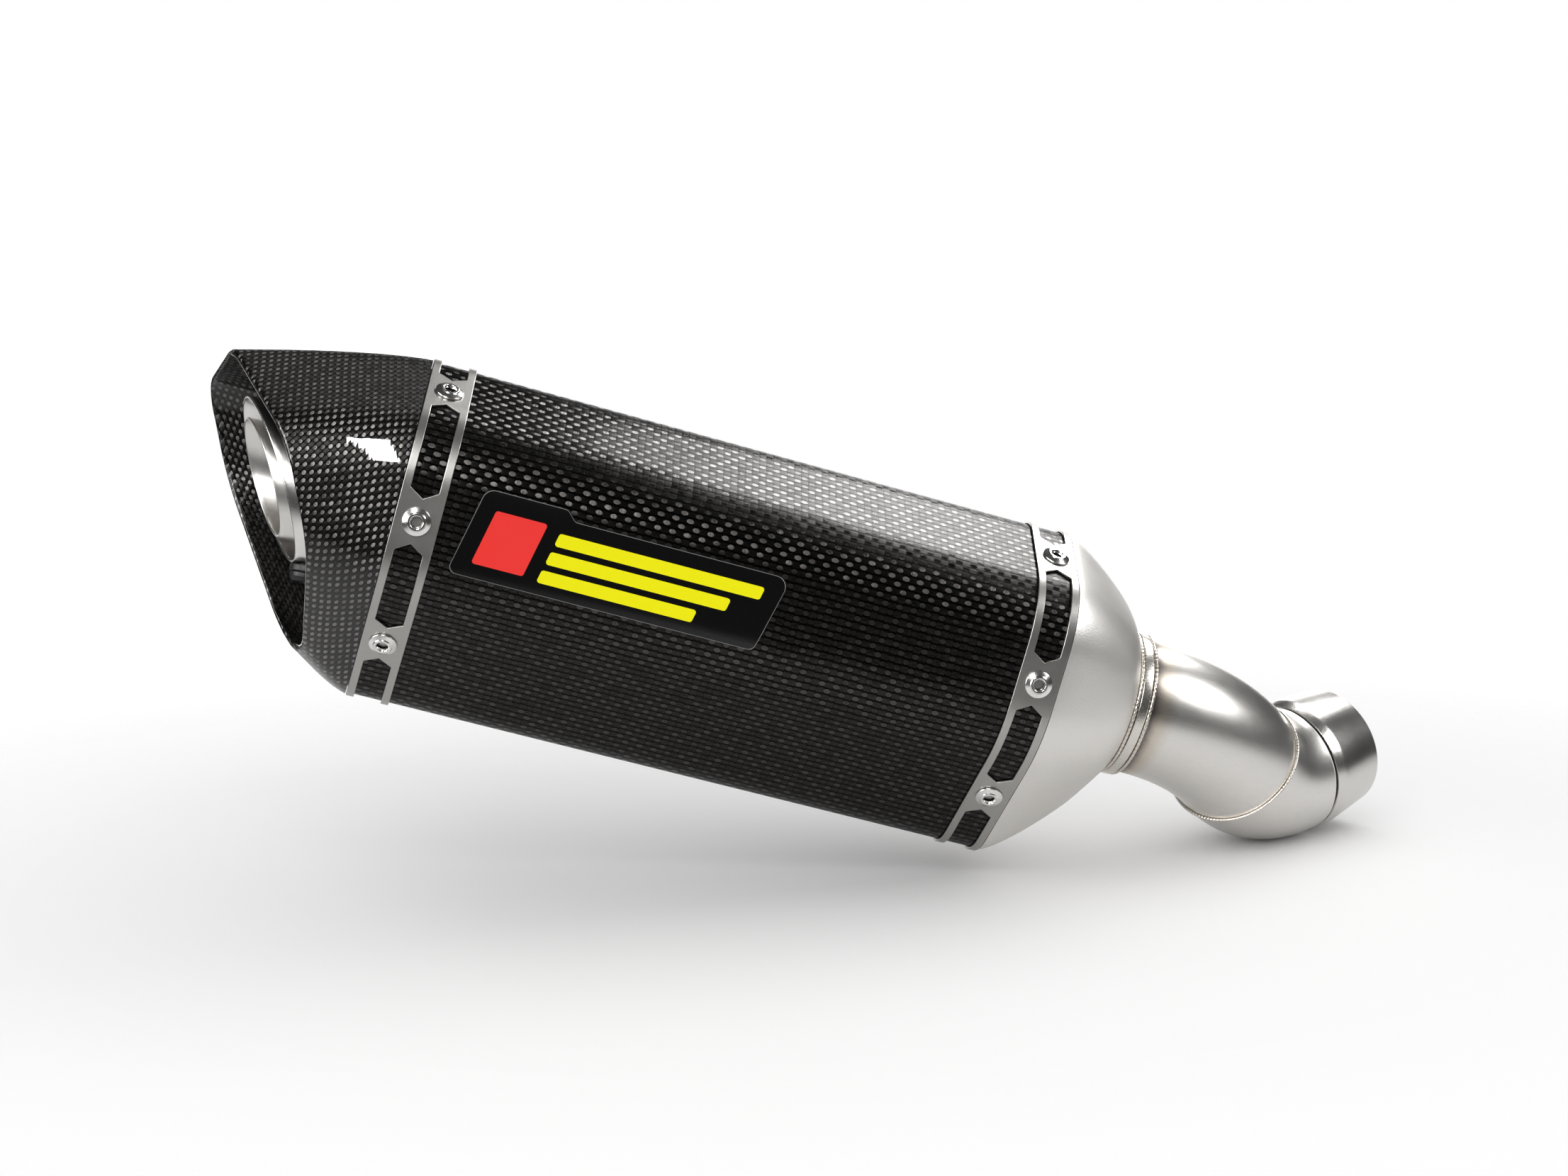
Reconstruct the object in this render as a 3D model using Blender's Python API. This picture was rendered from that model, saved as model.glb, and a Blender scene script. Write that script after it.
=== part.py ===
"""Motorcycle exhaust muffler with its link pipe.

A carbon sleeve is held between two riveted steel bands. A slanted carbon end cap closes the outlet
end and a steel cone closes the inlet end. A perforated core runs through the packing to a short
outlet tube, and a removable noise insert slides out of that tube. A pipe with two bends brings the
gas in through a flared slip sleeve.

Lengths are in metres and +Z is up. The muffler is drawn in its own frame, +X along its axis towards
the inlet and +Y towards the wheel, and one empty then leans it to the angle it hangs at on the
machine and puts the centre of the inlet mouth at the origin.
"""

import math

import bmesh
import bpy
from mathutils import Matrix, Vector

MM = 0.001
TAU = 2.0 * math.pi
FIT = 0.3 * MM

HANGING_ANGLE = math.radians(16.1)

# Cross-section of the body: a tall kite with flat sides, mirrored about the X-Z plane.
BODY_HALF_WIDTH = 46.4 * MM
BODY_CROWN = 62.0 * MM
BODY_SHOULDER = 41.4 * MM
BODY_WAIST = -10.1 * MM
BODY_RADII = {"crown": 18.7 * MM, "shoulder": 27.8 * MM, "waist": 42.8 * MM, "keel": 17.3 * MM}

# The end cap's mouth, a smaller section on a slanted plane.
RIM_HALF_WIDTH = 42.2 * MM
RIM_CROWN = 47.0 * MM
RIM_KEEL = -50.6 * MM
RIM_SHOULDER = 29.0 * MM
RIM_WAIST = -7.0 * MM
RIM_RADII = {"crown": 14.0 * MM, "shoulder": 20.0 * MM, "waist": 38.0 * MM, "keel": 20.0 * MM}
RIM_TIP_X = -186.5 * MM
RIM_RAKE = 0.462
RIM_YAW = math.tan(math.radians(22.0))

ARC_STEPS = 4
FLAT_STEPS = 3
ROUND_STEPS = 32

BAND_OUTER_X = 119.0 * MM
BAND_WIDTH = 15.3 * MM
BAND_SHEET = 0.8 * MM
WINDOW_HALF_WIDTH = 4.85 * MM
WINDOW_POINT = 3.0 * MM
WINDOW_TIP = 0.15 * MM
WINDOW_BRIDGE = 7.9 * MM
WINDOW_STATIONS = 8
WINDOW_CUT = 2.0 * MM

SLEEVE_OFFSET = BAND_SHEET + FIT
SLEEVE_WALL = 2.0 * MM
SLEEVE_END_X = BAND_OUTER_X
SPIGOT_OFFSET = SLEEVE_OFFSET + SLEEVE_WALL + FIT
SPIGOT_WALL = 1.5 * MM
SPIGOT_DEPTH = 14.5 * MM
SKIN_OFFSET = 0.4 * MM
CAP_WALL = 2.4 * MM
CAP_ROWS = 7
CAP_TAPER = 1.3

RIVET_ARCS = (22.8 * MM, 77.5 * MM, 129.2 * MM)
RIVET_X = 111.4 * MM
RIVET_BORE = 2.7 * MM
RIVET_BORE_DEPTH = 8.0 * MM
RIVET_SHANK = 2.35 * MM
RIVET_HEAD = 4.9 * MM
RIVET_HEIGHT = 1.7 * MM
RIVET_TAIL = 3.3 * MM
RIVET_TAIL_LENGTH = 2.6 * MM
MANDREL_HOLLOW = 2.0 * MM
RIVET_STEPS = 10

# Gas path through the muffler, above the middle of the section.
CORE_Z = 6.0 * MM
CORE_RADIUS = 21.0 * MM
CORE_WALL = 0.8 * MM
CORE_OUTLET_X = -78.0 * MM
CORE_INLET_X = 148.0 * MM
CORE_COLUMNS = 16
CORE_ROWS = 17
HOLE_ROWS = range(2, 11)
HOLE_SHARE = 0.45
WOOL_RADIUS = 24.0 * MM
BAFFLE_SHEET = 1.2 * MM
PLATE_CLEARANCE = 0.8 * MM
OUTLET_BAFFLE_X = -76.0 * MM
INLET_BAFFLE_X = 101.0 * MM
BULKHEAD_X = -116.0 * MM
TIP_WELD = 2.0 * MM

TIP_RADIUS = 26.5 * MM
TIP_WALL = 1.2 * MM
TIP_INNER_X = -88.0 * MM
TIP_MOUTH_X = -163.8 * MM
TIP_RAKE = 0.505
TIP_YAW = math.tan(math.radians(17.0))

INSERT_RADIUS = 19.1 * MM
INSERT_WALL = 1.0 * MM
INSERT_INNER_X = -92.0 * MM
INSERT_MOUTH_X = -166.2 * MM
INSERT_RAKE = 0.479
COLLAR_OUTER = TIP_RADIUS - TIP_WALL - 0.6 * MM
COLLAR_X = -147.0 * MM
COLLAR_LENGTH = 7.0 * MM
GUIDE_LENGTH = 4.0 * MM
GUIDE_INSET = 1.0 * MM

BOLT_ANGLE = math.radians(15.0)
BOLT_X = COLLAR_X + 0.5 * COLLAR_LENGTH
BOLT_SHANK = 3.0 * MM
BOLT_DEPTH = 0.7 * MM
BOLT_HEAD = 5.0 * MM
BOLT_HEIGHT = 2.8 * MM
BOLT_SOCKET = 2.0 * MM
BOLT_BORE_REACH = 4.0 * MM
BOSS_RADIUS = 5.6 * MM
BOSS_HEIGHT = 2.6 * MM

CONE_END_X = 154.0 * MM
CONE_END_RADIUS = 27.6 * MM
CONE_SHEET = 1.2 * MM
CONE_STATIONS = (0.0, 0.2, 0.4, 0.6, 0.8, 0.91, 0.97, 1.0)
CONE_SWELL = 1.3
CONE_LIP = 0.15
CONE_LIP_POWER = 12
SPIGOT_RAMP = 1.5 * MM

PIPE_RADIUS = 25.4 * MM
PIPE_WALL = 1.2 * MM
PIPE_START_X = 150.0 * MM
PIPE_STRAIGHT = 13.9 * MM
BEAD = 0.7 * MM
COLLAR_RING_X = 156.0 * MM
COLLAR_RING_LENGTH = 3.6 * MM
COLLAR_RING_RADIUS = 27.2 * MM
FIRST_BEND = {"radius": 71.5 * MM, "angle": math.radians(42.7), "roll": math.radians(132.0)}
SECOND_BEND = {"radius": 41.0 * MM, "angle": math.radians(50.5), "roll": math.radians(-1.0)}
BEND_STATIONS = 8
FLARE_RADIUS = 26.4 * MM
FLARE_LENGTH = 4.4 * MM
MOUTH_RADIUS = 23.9 * MM
MOUTH_LENGTH = 22.4 * MM
SLEEVE_SHEET = 1.3 * MM
SLEEVE_SETBACK = 1.3 * MM

LABEL_THICKNESS = 0.4 * MM
LABEL_TOP = 28.0 * MM
LABEL_BOTTOM = -2.8 * MM
LABEL_LEFT = -97.4 * MM
LABEL_RIGHT = 9.0 * MM
LABEL_LEAN = 5.8 * MM
LABEL_STEP = (-62.0 * MM, 3.6 * MM)
LABEL_CORNER = 2.5 * MM

CARBON = ((0.012, 0.012, 0.013), 0.18, 0.0)
CAP_CARBON = ((0.016, 0.015, 0.015), 0.16, 0.0)
BAND_STEEL = ((0.55, 0.52, 0.49), 0.34, 1.0)
BRIGHT_STEEL = ((0.78, 0.77, 0.75), 0.16, 1.0)
BLASTED_STEEL = ((0.60, 0.57, 0.54), 0.55, 1.0)
PIPE_STEEL = ((0.58, 0.55, 0.52), 0.28, 1.0)
WELD_STEEL = ((0.66, 0.58, 0.47), 0.35, 1.0)
INNER_STEEL = ((0.42, 0.40, 0.38), 0.45, 1.0)
DARK_STEEL = ((0.12, 0.12, 0.12), 0.45, 1.0)
FIBRE = ((0.72, 0.68, 0.58), 0.95, 0.0)
LABEL_BLACK = ((0.008, 0.008, 0.009), 0.2, 0.0)


# ---------------------------------------------------------------- outlines

def sharp_apex(half_width, shoulder, crown, radius):
    """Height of the sharp corner that, once rounded, just reaches the crown."""
    height = crown
    for _ in range(40):
        half_angle = math.atan2(half_width, height - shoulder)
        height = crown + radius * (1.0 / math.sin(half_angle) - 1.0)
    return height


def kite_section(half_width, crown, shoulder, waist, keel, radii):
    """Points and outward normals (y, z) round a kite with flat sides, from one side over the top."""
    top = sharp_apex(half_width, shoulder, crown, radii["crown"])
    bottom = -sharp_apex(half_width, -waist, -keel, radii["keel"])
    corners = [
        (Vector((half_width, shoulder)), radii["shoulder"]),
        (Vector((0.0, top)), radii["crown"]),
        (Vector((-half_width, shoulder)), radii["shoulder"]),
        (Vector((-half_width, waist)), radii["waist"]),
        (Vector((0.0, bottom)), radii["keel"]),
        (Vector((half_width, waist)), radii["waist"]),
    ]
    arcs = []
    for index, (corner, radius) in enumerate(corners):
        before = (corner - corners[index - 1][0]).normalized()
        after = (corners[(index + 1) % len(corners)][0] - corner).normalized()
        turn = math.acos(max(-1.0, min(1.0, before.dot(after))))
        inward = Vector((-before.y, before.x))
        centre = corner - before * radius * math.tan(turn / 2) + inward * radius
        start = math.atan2(-inward.y, -inward.x)
        arc = []
        for step in range(ARC_STEPS + 1):
            angle = start + turn * step / ARC_STEPS
            normal = Vector((math.cos(angle), math.sin(angle)))
            arc.append((centre + normal * radius, normal))
        arcs.append(arc)
    outline = []
    for index, arc in enumerate(arcs):
        outline += arc
        (here, normal), (there, _) = arc[-1], arcs[(index + 1) % len(arcs)][0]
        for step in range(1, FLAT_STEPS):
            outline.append((here.lerp(there, step / FLAT_STEPS), normal))
    return outline


BODY = kite_section(
    BODY_HALF_WIDTH, BODY_CROWN, BODY_SHOULDER, BODY_WAIST, -BODY_CROWN, BODY_RADII
)
RIM = kite_section(RIM_HALF_WIDTH, RIM_CROWN, RIM_SHOULDER, RIM_WAIST, RIM_KEEL, RIM_RADII)


def inset(outline, offset):
    """The outline's points moved inwards by an offset."""
    return [point - normal * offset for point, normal in outline]


def circle_like(outline, radius, centre_z):
    """A circle with one point in the direction of each point of an outline."""
    centre = Vector((0.0, centre_z))
    return [centre + (point - centre).normalized() * radius for point, _ in outline]


def on_body(arc_length):
    """Point and normal of the body's outline, at a distance round it from the crown.

    Positive distances run down the outer side, away from the wheel.
    """
    crown = max(range(len(BODY)), key=lambda index: BODY[index][0].y)
    step = 1 if arc_length >= 0 else -1
    left = abs(arc_length)
    index = crown
    while True:
        (here, _), (there, normal) = BODY[index], BODY[(index + step) % len(BODY)]
        length = (there - here).length
        if left <= length:
            edge = (there - here) * step
            return here.lerp(there, left / length), Vector((edge.y, -edge.x)).normalized()
        left -= length
        index = (index + step) % len(BODY)


def perimeter():
    return sum((BODY[index][0] - BODY[index - 1][0]).length for index in range(len(BODY)))


# ---------------------------------------------------------------- solids

def finish_mesh(name, bm, look, smooth=math.radians(32.0)):
    """Turns a bmesh into a named object with its own material, smooth where it is round."""
    bmesh.ops.recalc_face_normals(bm, faces=bm.faces)
    mesh = bpy.data.meshes.new(name)
    bm.to_mesh(mesh)
    bm.free()
    for polygon in mesh.polygons:
        polygon.use_smooth = True
    mesh.set_sharp_from_angle(angle=smooth)
    obj = bpy.data.objects.new(name, mesh)
    bpy.context.collection.objects.link(obj)
    obj.parent = MUFFLER
    if look is not None:
        colour, roughness, metallic = look
        material = bpy.data.materials.new(name)
        material.use_nodes = True
        shader = material.node_tree.nodes["Principled BSDF"]
        shader.inputs["Base Color"].default_value = (*colour, 1.0)
        shader.inputs["Roughness"].default_value = roughness
        shader.inputs["Metallic"].default_value = metallic
        mesh.materials.append(material)
    return obj


def ring_solid(name, loops, look):
    """A closed ring: one closed profile of points for each station round it."""
    bm = bmesh.new()
    rings = [[bm.verts.new(point) for point in loop] for loop in loops]
    for index, ring in enumerate(rings):
        following = rings[(index + 1) % len(rings)]
        for corner in range(len(ring)):
            other = (corner + 1) % len(ring)
            bm.faces.new((ring[corner], following[corner], following[other], ring[other]))
    return finish_mesh(name, bm, look)


def section_ring(name, profile, look):
    """A ring that follows the body: the profile is a closed list of (x, outline points)."""
    loops = [
        [Vector((x, points[index].x, points[index].y)) for x, points in profile]
        for index in range(len(BODY))
    ]
    return ring_solid(name, loops, look)


def turned_ring(name, profile, look, placing, steps=ROUND_STEPS):
    """A turned ring about its own X axis: the profile is a closed list of (x, radius)."""
    loops = []
    for step in range(steps):
        angle = TAU * step / steps
        across = Vector((0.0, math.cos(angle), math.sin(angle)))
        loops.append([Vector((x, 0.0, 0.0)) + across * radius for x, radius in profile])
    obj = ring_solid(name, loops, look)
    obj.matrix_local = placing
    return obj


def turned_solid(name, profile, look, placing, steps):
    """A turned solid about its own X axis: the profile runs from the axis back to the axis."""
    bm = bmesh.new()
    rings = []
    for x, radius in profile:
        if radius == 0.0:
            rings.append([bm.verts.new((x, 0.0, 0.0))] * steps)
            continue
        angles = [TAU * step / steps for step in range(steps)]
        rings.append([
            bm.verts.new((x, radius * math.cos(angle), radius * math.sin(angle)))
            for angle in angles
        ])
    for ring, following in zip(rings, rings[1:]):
        for step in range(steps):
            other = (step + 1) % steps
            face = [ring[step], ring[other], following[other], following[step]]
            bm.faces.new(list(dict.fromkeys(face)))
    obj = finish_mesh(name, bm, look)
    obj.matrix_local = placing
    return obj


def axis_placing(point, direction):
    """A placing with +X along a direction."""
    direction = Vector(direction)
    return Matrix.Translation(point) @ direction.to_track_quat("X", "Z").to_matrix().to_4x4()


def swept_tube(name, frames, outer, wall, look):
    """A tube of one outer radius along a list of frames whose X axes follow it."""
    loops = []
    for step in range(ROUND_STEPS):
        angle = TAU * step / ROUND_STEPS
        across = Vector((0.0, math.cos(angle), math.sin(angle)))
        outside = [frame @ (across * outer) for frame in frames]
        inside = [frame @ (across * (outer - wall)) for frame in reversed(frames)]
        loops.append(outside + inside)
    return ring_solid(name, loops, look)


def weld_bead(name, placing, radius, thickness, steps=24):
    """A thin weld bead round a joint."""
    profile = []
    for corner in range(6):
        angle = TAU * corner / 6
        profile.append((thickness * math.cos(angle), radius + thickness * math.sin(angle)))
    return turned_ring(name, profile, WELD_STEEL, placing, steps)


def hide_cutter(cutter):
    cutter.hide_render = True
    cutter.display_type = "WIRE"


def cut(target, cutter):
    modifier = target.modifiers.new("cut_" + cutter.name, "BOOLEAN")
    modifier.operation = "DIFFERENCE"
    modifier.solver = "EXACT"
    modifier.object = cutter


# ---------------------------------------------------------------- carbon shell

def make_outer_sleeve():
    outside = inset(BODY, SLEEVE_OFFSET)
    inside = inset(BODY, SLEEVE_OFFSET + SLEEVE_WALL)
    end = SLEEVE_END_X - FIT
    profile = [(-end, outside), (end, outside), (end, inside), (-end, inside)]
    return section_ring("outer_sleeve", profile, CARBON)


def rim_x(point):
    """Distance along the axis of the slanted mouth of the end cap."""
    return RIM_TIP_X + RIM_RAKE * (RIM_CROWN - point.y) - RIM_YAW * point.x


def cap_row(along, offset):
    """One row of points round the end cap, from its base at 0 to its mouth at 1."""
    start = -(BAND_OUTER_X + FIT)
    row = []
    for (base, base_normal), (edge, edge_normal) in zip(BODY, RIM):
        flat = base.lerp(edge, along ** CAP_TAPER)
        inwards = base_normal.lerp(edge_normal, along) * offset
        x = start + along * (rim_x(edge) - start)
        row.append(Vector((x, flat.x - inwards.x, flat.y - inwards.y)))
    return row


def make_end_cap():
    """Moulded cap: a tapering skin with a slanted mouth, and a spigot inside the sleeve."""
    def flat_row(x, offset):
        return [Vector((x, point.x, point.y)) for point in inset(BODY, offset)]

    base_x = -(BAND_OUTER_X + FIT)
    inner = SKIN_OFFSET + CAP_WALL
    rows = [cap_row(step / CAP_ROWS, SKIN_OFFSET) for step in range(CAP_ROWS + 1)]
    rows += [cap_row(step / CAP_ROWS, inner) for step in range(CAP_ROWS, 0, -1)]
    rows += [
        flat_row(base_x - SPIGOT_RAMP, SPIGOT_OFFSET + SPIGOT_WALL),
        flat_row(base_x + SPIGOT_DEPTH, SPIGOT_OFFSET + SPIGOT_WALL),
        flat_row(base_x + SPIGOT_DEPTH, SPIGOT_OFFSET),
        flat_row(base_x, SPIGOT_OFFSET),
    ]
    loops = [[row[index] for row in rows] for index in range(len(BODY))]
    return ring_solid("end_cap", loops, CAP_CARBON)


# ---------------------------------------------------------------- bands and rivets

def window_arcs():
    """Start and end of each window round a band, measured from the crown."""
    half = perimeter() / 2
    rivets = sorted([*RIVET_ARCS, *(-arc for arc in RIVET_ARCS)])
    spans = [(a + WINDOW_BRIDGE, b - WINDOW_BRIDGE) for a, b in zip(rivets, rivets[1:])]
    keel_span = (rivets[-1] + WINDOW_BRIDGE, 2 * half - rivets[-1] - WINDOW_BRIDGE)
    return spans + [keel_span]


def make_window_cutter(name, centre_x, start, end):
    """A six-sided window, pointed at both ends, that wraps round the body."""
    half = perimeter() / 2
    inner, outer = start + WINDOW_POINT, end - WINDOW_POINT
    stations = [(start, WINDOW_TIP), *(
        (inner + (outer - inner) * step / WINDOW_STATIONS, WINDOW_HALF_WIDTH)
        for step in range(WINDOW_STATIONS + 1)
    ), (end, WINDOW_TIP)]
    bm = bmesh.new()
    rings = []
    for arc, reach in stations:
        point, normal = on_body(arc if arc <= half else arc - 2 * half)
        ring = []
        for x, side in ((-reach, -1.0), (reach, -1.0), (reach, 1.0), (-reach, 1.0)):
            flat = point + normal * side * WINDOW_CUT
            ring.append(bm.verts.new((centre_x + x, flat.x, flat.y)))
        rings.append(ring)
    for ring, following in zip(rings, rings[1:]):
        for corner in range(4):
            other = (corner + 1) % 4
            bm.faces.new((ring[corner], ring[other], following[other], following[corner]))
    bm.faces.new(rings[0])
    bm.faces.new(rings[-1])
    cutter = finish_mesh(name, bm, None)
    hide_cutter(cutter)
    return cutter


def make_band(name, side):
    """A folded steel band, at the outlet (side -1) or the inlet (side +1), with its windows."""
    low = min(side * BAND_OUTER_X, side * (BAND_OUTER_X - BAND_WIDTH))
    outside = inset(BODY, 0.0)
    inside = inset(BODY, BAND_SHEET)
    high = low + BAND_WIDTH
    profile = [(low, outside), (high, outside), (high, inside), (low, inside)]
    band = section_ring(name, profile, BAND_STEEL)
    for number, (start, end) in enumerate(window_arcs(), 1):
        cutter = make_window_cutter(f"{name}_window_{number}", side * RIVET_X, start, end)
        cut(band, cutter)
    return band


def rivet_placings(side):
    placings = []
    for arc in (*RIVET_ARCS, *(-arc for arc in reversed(RIVET_ARCS))):
        point, normal = on_body(arc)
        origin = Vector((side * RIVET_X, point.x, point.y))
        placings.append(axis_placing(origin, (0.0, normal.x, normal.y)))
    return placings


def make_rivet(name, placing):
    """A blind rivet: domed head with a hollow for its mandrel, shank and formed tail."""
    tail = -(SPIGOT_OFFSET + SPIGOT_WALL + FIT)
    seat = 0.2 * MM
    top = seat + RIVET_HEIGHT
    profile = [
        (tail - RIVET_TAIL_LENGTH, 0.0),
        (tail - 0.85 * RIVET_TAIL_LENGTH, 0.8 * RIVET_TAIL),
        (tail, RIVET_TAIL),
        (tail, RIVET_SHANK),
        (seat, RIVET_SHANK),
        (seat, RIVET_HEAD),
        (seat + 0.53 * RIVET_HEIGHT, 0.92 * RIVET_HEAD),
        (top, 0.6 * RIVET_HEAD),
        (top - 0.12 * RIVET_HEIGHT, MANDREL_HOLLOW),
        (top - 0.7 * RIVET_HEIGHT, 0.0),
    ]
    return turned_solid(name, profile, BRIGHT_STEEL, placing, RIVET_STEPS)


def make_rivet_row(side, end_name, joined):
    """Six rivets through one band, and their bores through everything they join."""
    for number, placing in enumerate(rivet_placings(side), 1):
        make_rivet(f"{end_name}_rivet_{number}", placing)
        low, high = -RIVET_BORE_DEPTH, WINDOW_CUT
        profile = [(low, 0.0), (low, RIVET_BORE), (high, RIVET_BORE), (high, 0.0)]
        bore = turned_solid(f"{end_name}_bore_{number}", profile, None, placing, RIVET_STEPS)
        hide_cutter(bore)
        for target in joined:
            cut(target, bore)


# ---------------------------------------------------------------- inside

def core_placing(x=0.0):
    return Matrix.Translation((x, 0.0, CORE_Z))


def section_plate(name, x, offset, hole, look):
    """A pressed plate across the body with a round hole for a tube."""
    outside = inset(BODY, offset)
    bore = circle_like(BODY, hole, CORE_Z)
    end = x + BAFFLE_SHEET
    return section_ring(name, [(x, outside), (end, outside), (end, bore), (x, bore)], look)


def make_core_tube():
    """The perforated core: every other cell of its middle rows holds a diamond hole."""
    bm = bmesh.new()
    step_x = (CORE_INLET_X - CORE_OUTLET_X) / CORE_ROWS
    inner_radius = CORE_RADIUS - CORE_WALL

    def at(column, row, radius):
        angle = TAU * column / CORE_COLUMNS
        return bm.verts.new((row * step_x, radius * math.cos(angle), radius * math.sin(angle)))

    grids = []
    for radius in (CORE_RADIUS, inner_radius):
        grids.append([
            [at(column, row, radius) for column in range(CORE_COLUMNS)]
            for row in range(CORE_ROWS + 1)
        ])
    for row in range(CORE_ROWS):
        for column in range(CORE_COLUMNS):
            other = (column + 1) % CORE_COLUMNS
            cells = [
                (grid[row][column], grid[row][other], grid[row + 1][other], grid[row + 1][column])
                for grid in grids
            ]
            if row not in HOLE_ROWS or (row + column) % 2 == 0:
                for cell in cells:
                    bm.faces.new(cell)
                continue
            holes = []
            for cell in cells:
                middle = sum((vert.co for vert in cell), Vector()) / 4
                hole = [bm.verts.new(middle.lerp(vert.co, HOLE_SHARE)) for vert in cell]
                holes.append(hole)
                for corner in range(4):
                    after = (corner + 1) % 4
                    bm.faces.new((cell[corner], cell[after], hole[after], hole[corner]))
            for corner in range(4):
                after = (corner + 1) % 4
                bm.faces.new((holes[0][corner], holes[0][after], holes[1][after], holes[1][corner]))
    for row in (0, CORE_ROWS):
        for column in range(CORE_COLUMNS):
            other = (column + 1) % CORE_COLUMNS
            outer, inner = grids[0][row], grids[1][row]
            bm.faces.new((outer[column], outer[other], inner[other], inner[column]))
    tube = finish_mesh("core_tube", bm, INNER_STEEL)
    tube.matrix_local = core_placing(CORE_OUTLET_X)


def make_packing():
    """Steel wool round the core, and the fibre packing that fills the sleeve round it."""
    start = OUTLET_BAFFLE_X + BAFFLE_SHEET + FIT
    end = INLET_BAFFLE_X - FIT
    wool_bore = CORE_RADIUS + FIT
    profile = [(start, WOOL_RADIUS), (end, WOOL_RADIUS), (end, wool_bore), (start, wool_bore)]
    turned_ring("steel_wool_wrap", profile, DARK_STEEL, core_placing(), 24)
    outside = inset(BODY, SPIGOT_OFFSET)
    bore = circle_like(BODY, WOOL_RADIUS + PLATE_CLEARANCE, CORE_Z)
    section_ring(
        "fibre_packing", [(start, outside), (end, outside), (end, bore), (start, bore)], FIBRE
    )


def make_inside():
    make_core_tube()
    make_packing()
    plate_offset = SPIGOT_OFFSET + SPIGOT_WALL + FIT
    core_hole = CORE_RADIUS + PLATE_CLEARANCE
    section_plate("outlet_baffle", OUTLET_BAFFLE_X, SPIGOT_OFFSET, core_hole, INNER_STEEL)
    section_plate("inlet_baffle", INLET_BAFFLE_X, SPIGOT_OFFSET, core_hole, INNER_STEEL)
    tip_hole = TIP_RADIUS + PLATE_CLEARANCE
    section_plate("outlet_bulkhead", BULKHEAD_X, plate_offset, tip_hole, INNER_STEEL)
    near, far = -FIT, -TIP_WELD
    bore = TIP_RADIUS + FIT
    profile = [(far, bore + 0.5 * MM), (near, bore + TIP_WELD), (near, bore), (far, bore)]
    turned_ring("tip_weld", profile, WELD_STEEL, core_placing(BULKHEAD_X))


# ---------------------------------------------------------------- outlet tube and noise insert

def raked_tube(name, radius, wall, inner_x, mouth_x, rake, parent, placing, look):
    """A straight tube whose mouth is cut on a slanted plane."""
    loops = []
    for step in range(ROUND_STEPS):
        angle = TAU * step / ROUND_STEPS
        y, z = math.cos(angle), math.sin(angle)
        mouth = mouth_x - (rake * z + TIP_YAW * y) * radius
        inside = radius - wall
        loops.append([
            Vector((inner_x, y * radius, z * radius)),
            Vector((mouth, y * radius, z * radius)),
            Vector((mouth, y * inside, z * inside)),
            Vector((inner_x, y * inside, z * inside)),
        ])
    tube = ring_solid(name, loops, look)
    tube.parent = parent
    tube.matrix_local = placing
    return tube


def bolt_placing(height):
    """A placing on the retaining bolt's axis, pointing out of the outlet tube from below."""
    out = Vector((0.0, -math.sin(BOLT_ANGLE), -math.cos(BOLT_ANGLE)))
    return axis_placing(Vector((BOLT_X, 0.0, CORE_Z)) + out * height, out)


def make_outlet_tip():
    tip = raked_tube(
        "outlet_tip", TIP_RADIUS, TIP_WALL, TIP_INNER_X, TIP_MOUTH_X, TIP_RAKE, MUFFLER,
        core_placing(), BRIGHT_STEEL,
    )
    bore = BOLT_SHANK + FIT
    reach = BOLT_BORE_REACH
    profile = [(-reach, 0.0), (-reach, bore), (reach, bore), (reach, 0.0)]
    cutter = turned_solid("insert_bolt_bore", profile, None, bolt_placing(TIP_RADIUS), 12)
    hide_cutter(cutter)
    cut(tip, cutter)
    base = FIT
    profile = [(base, BOSS_RADIUS), (BOSS_HEIGHT, BOSS_RADIUS), (BOSS_HEIGHT, bore), (base, bore)]
    turned_ring("bolt_boss", profile, INNER_STEEL, bolt_placing(TIP_RADIUS), 16)
    end = -BOLT_DEPTH
    seat = BOSS_HEIGHT + FIT
    top = seat + BOLT_HEIGHT
    floor = top - 0.57 * BOLT_HEIGHT
    profile = [
        (end, 0.0),
        (end, BOLT_SHANK),
        (seat, BOLT_SHANK),
        (seat, BOLT_HEAD),
        (seat + 0.5 * BOLT_HEIGHT, 0.94 * BOLT_HEAD),
        (top, 0.68 * BOLT_HEAD),
        (top, BOLT_SOCKET),
        (floor, BOLT_SOCKET),
        (floor, 0.0),
    ]
    turned_solid("insert_bolt", profile, DARK_STEEL, bolt_placing(TIP_RADIUS), 12)


def make_noise_insert():
    """The insert tube with its collar and guide ring, which slide out of the tip together."""
    axis = bpy.data.objects.new("insert_axis", None)
    bpy.context.collection.objects.link(axis)
    axis.parent = MUFFLER
    axis.matrix_local = core_placing(INSERT_MOUTH_X)
    raked_tube(
        "insert_tube", INSERT_RADIUS, INSERT_WALL, INSERT_INNER_X - INSERT_MOUTH_X, 0.0,
        INSERT_RAKE, axis, Matrix.Identity(4), BRIGHT_STEEL,
    )
    bore = INSERT_RADIUS + FIT
    spans = {
        "insert_collar": (COLLAR_X, COLLAR_LENGTH),
        "insert_guide_ring": (INSERT_INNER_X - GUIDE_LENGTH - GUIDE_INSET, GUIDE_LENGTH),
    }
    for name, (start, length) in spans.items():
        profile = [(0.0, COLLAR_OUTER), (length, COLLAR_OUTER), (length, bore), (0.0, bore)]
        placing = Matrix.Translation((start - INSERT_MOUTH_X, 0.0, 0.0))
        ring = turned_ring(name, profile, INNER_STEEL, placing)
        ring.parent = axis


# ---------------------------------------------------------------- inlet cone and link pipe

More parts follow.
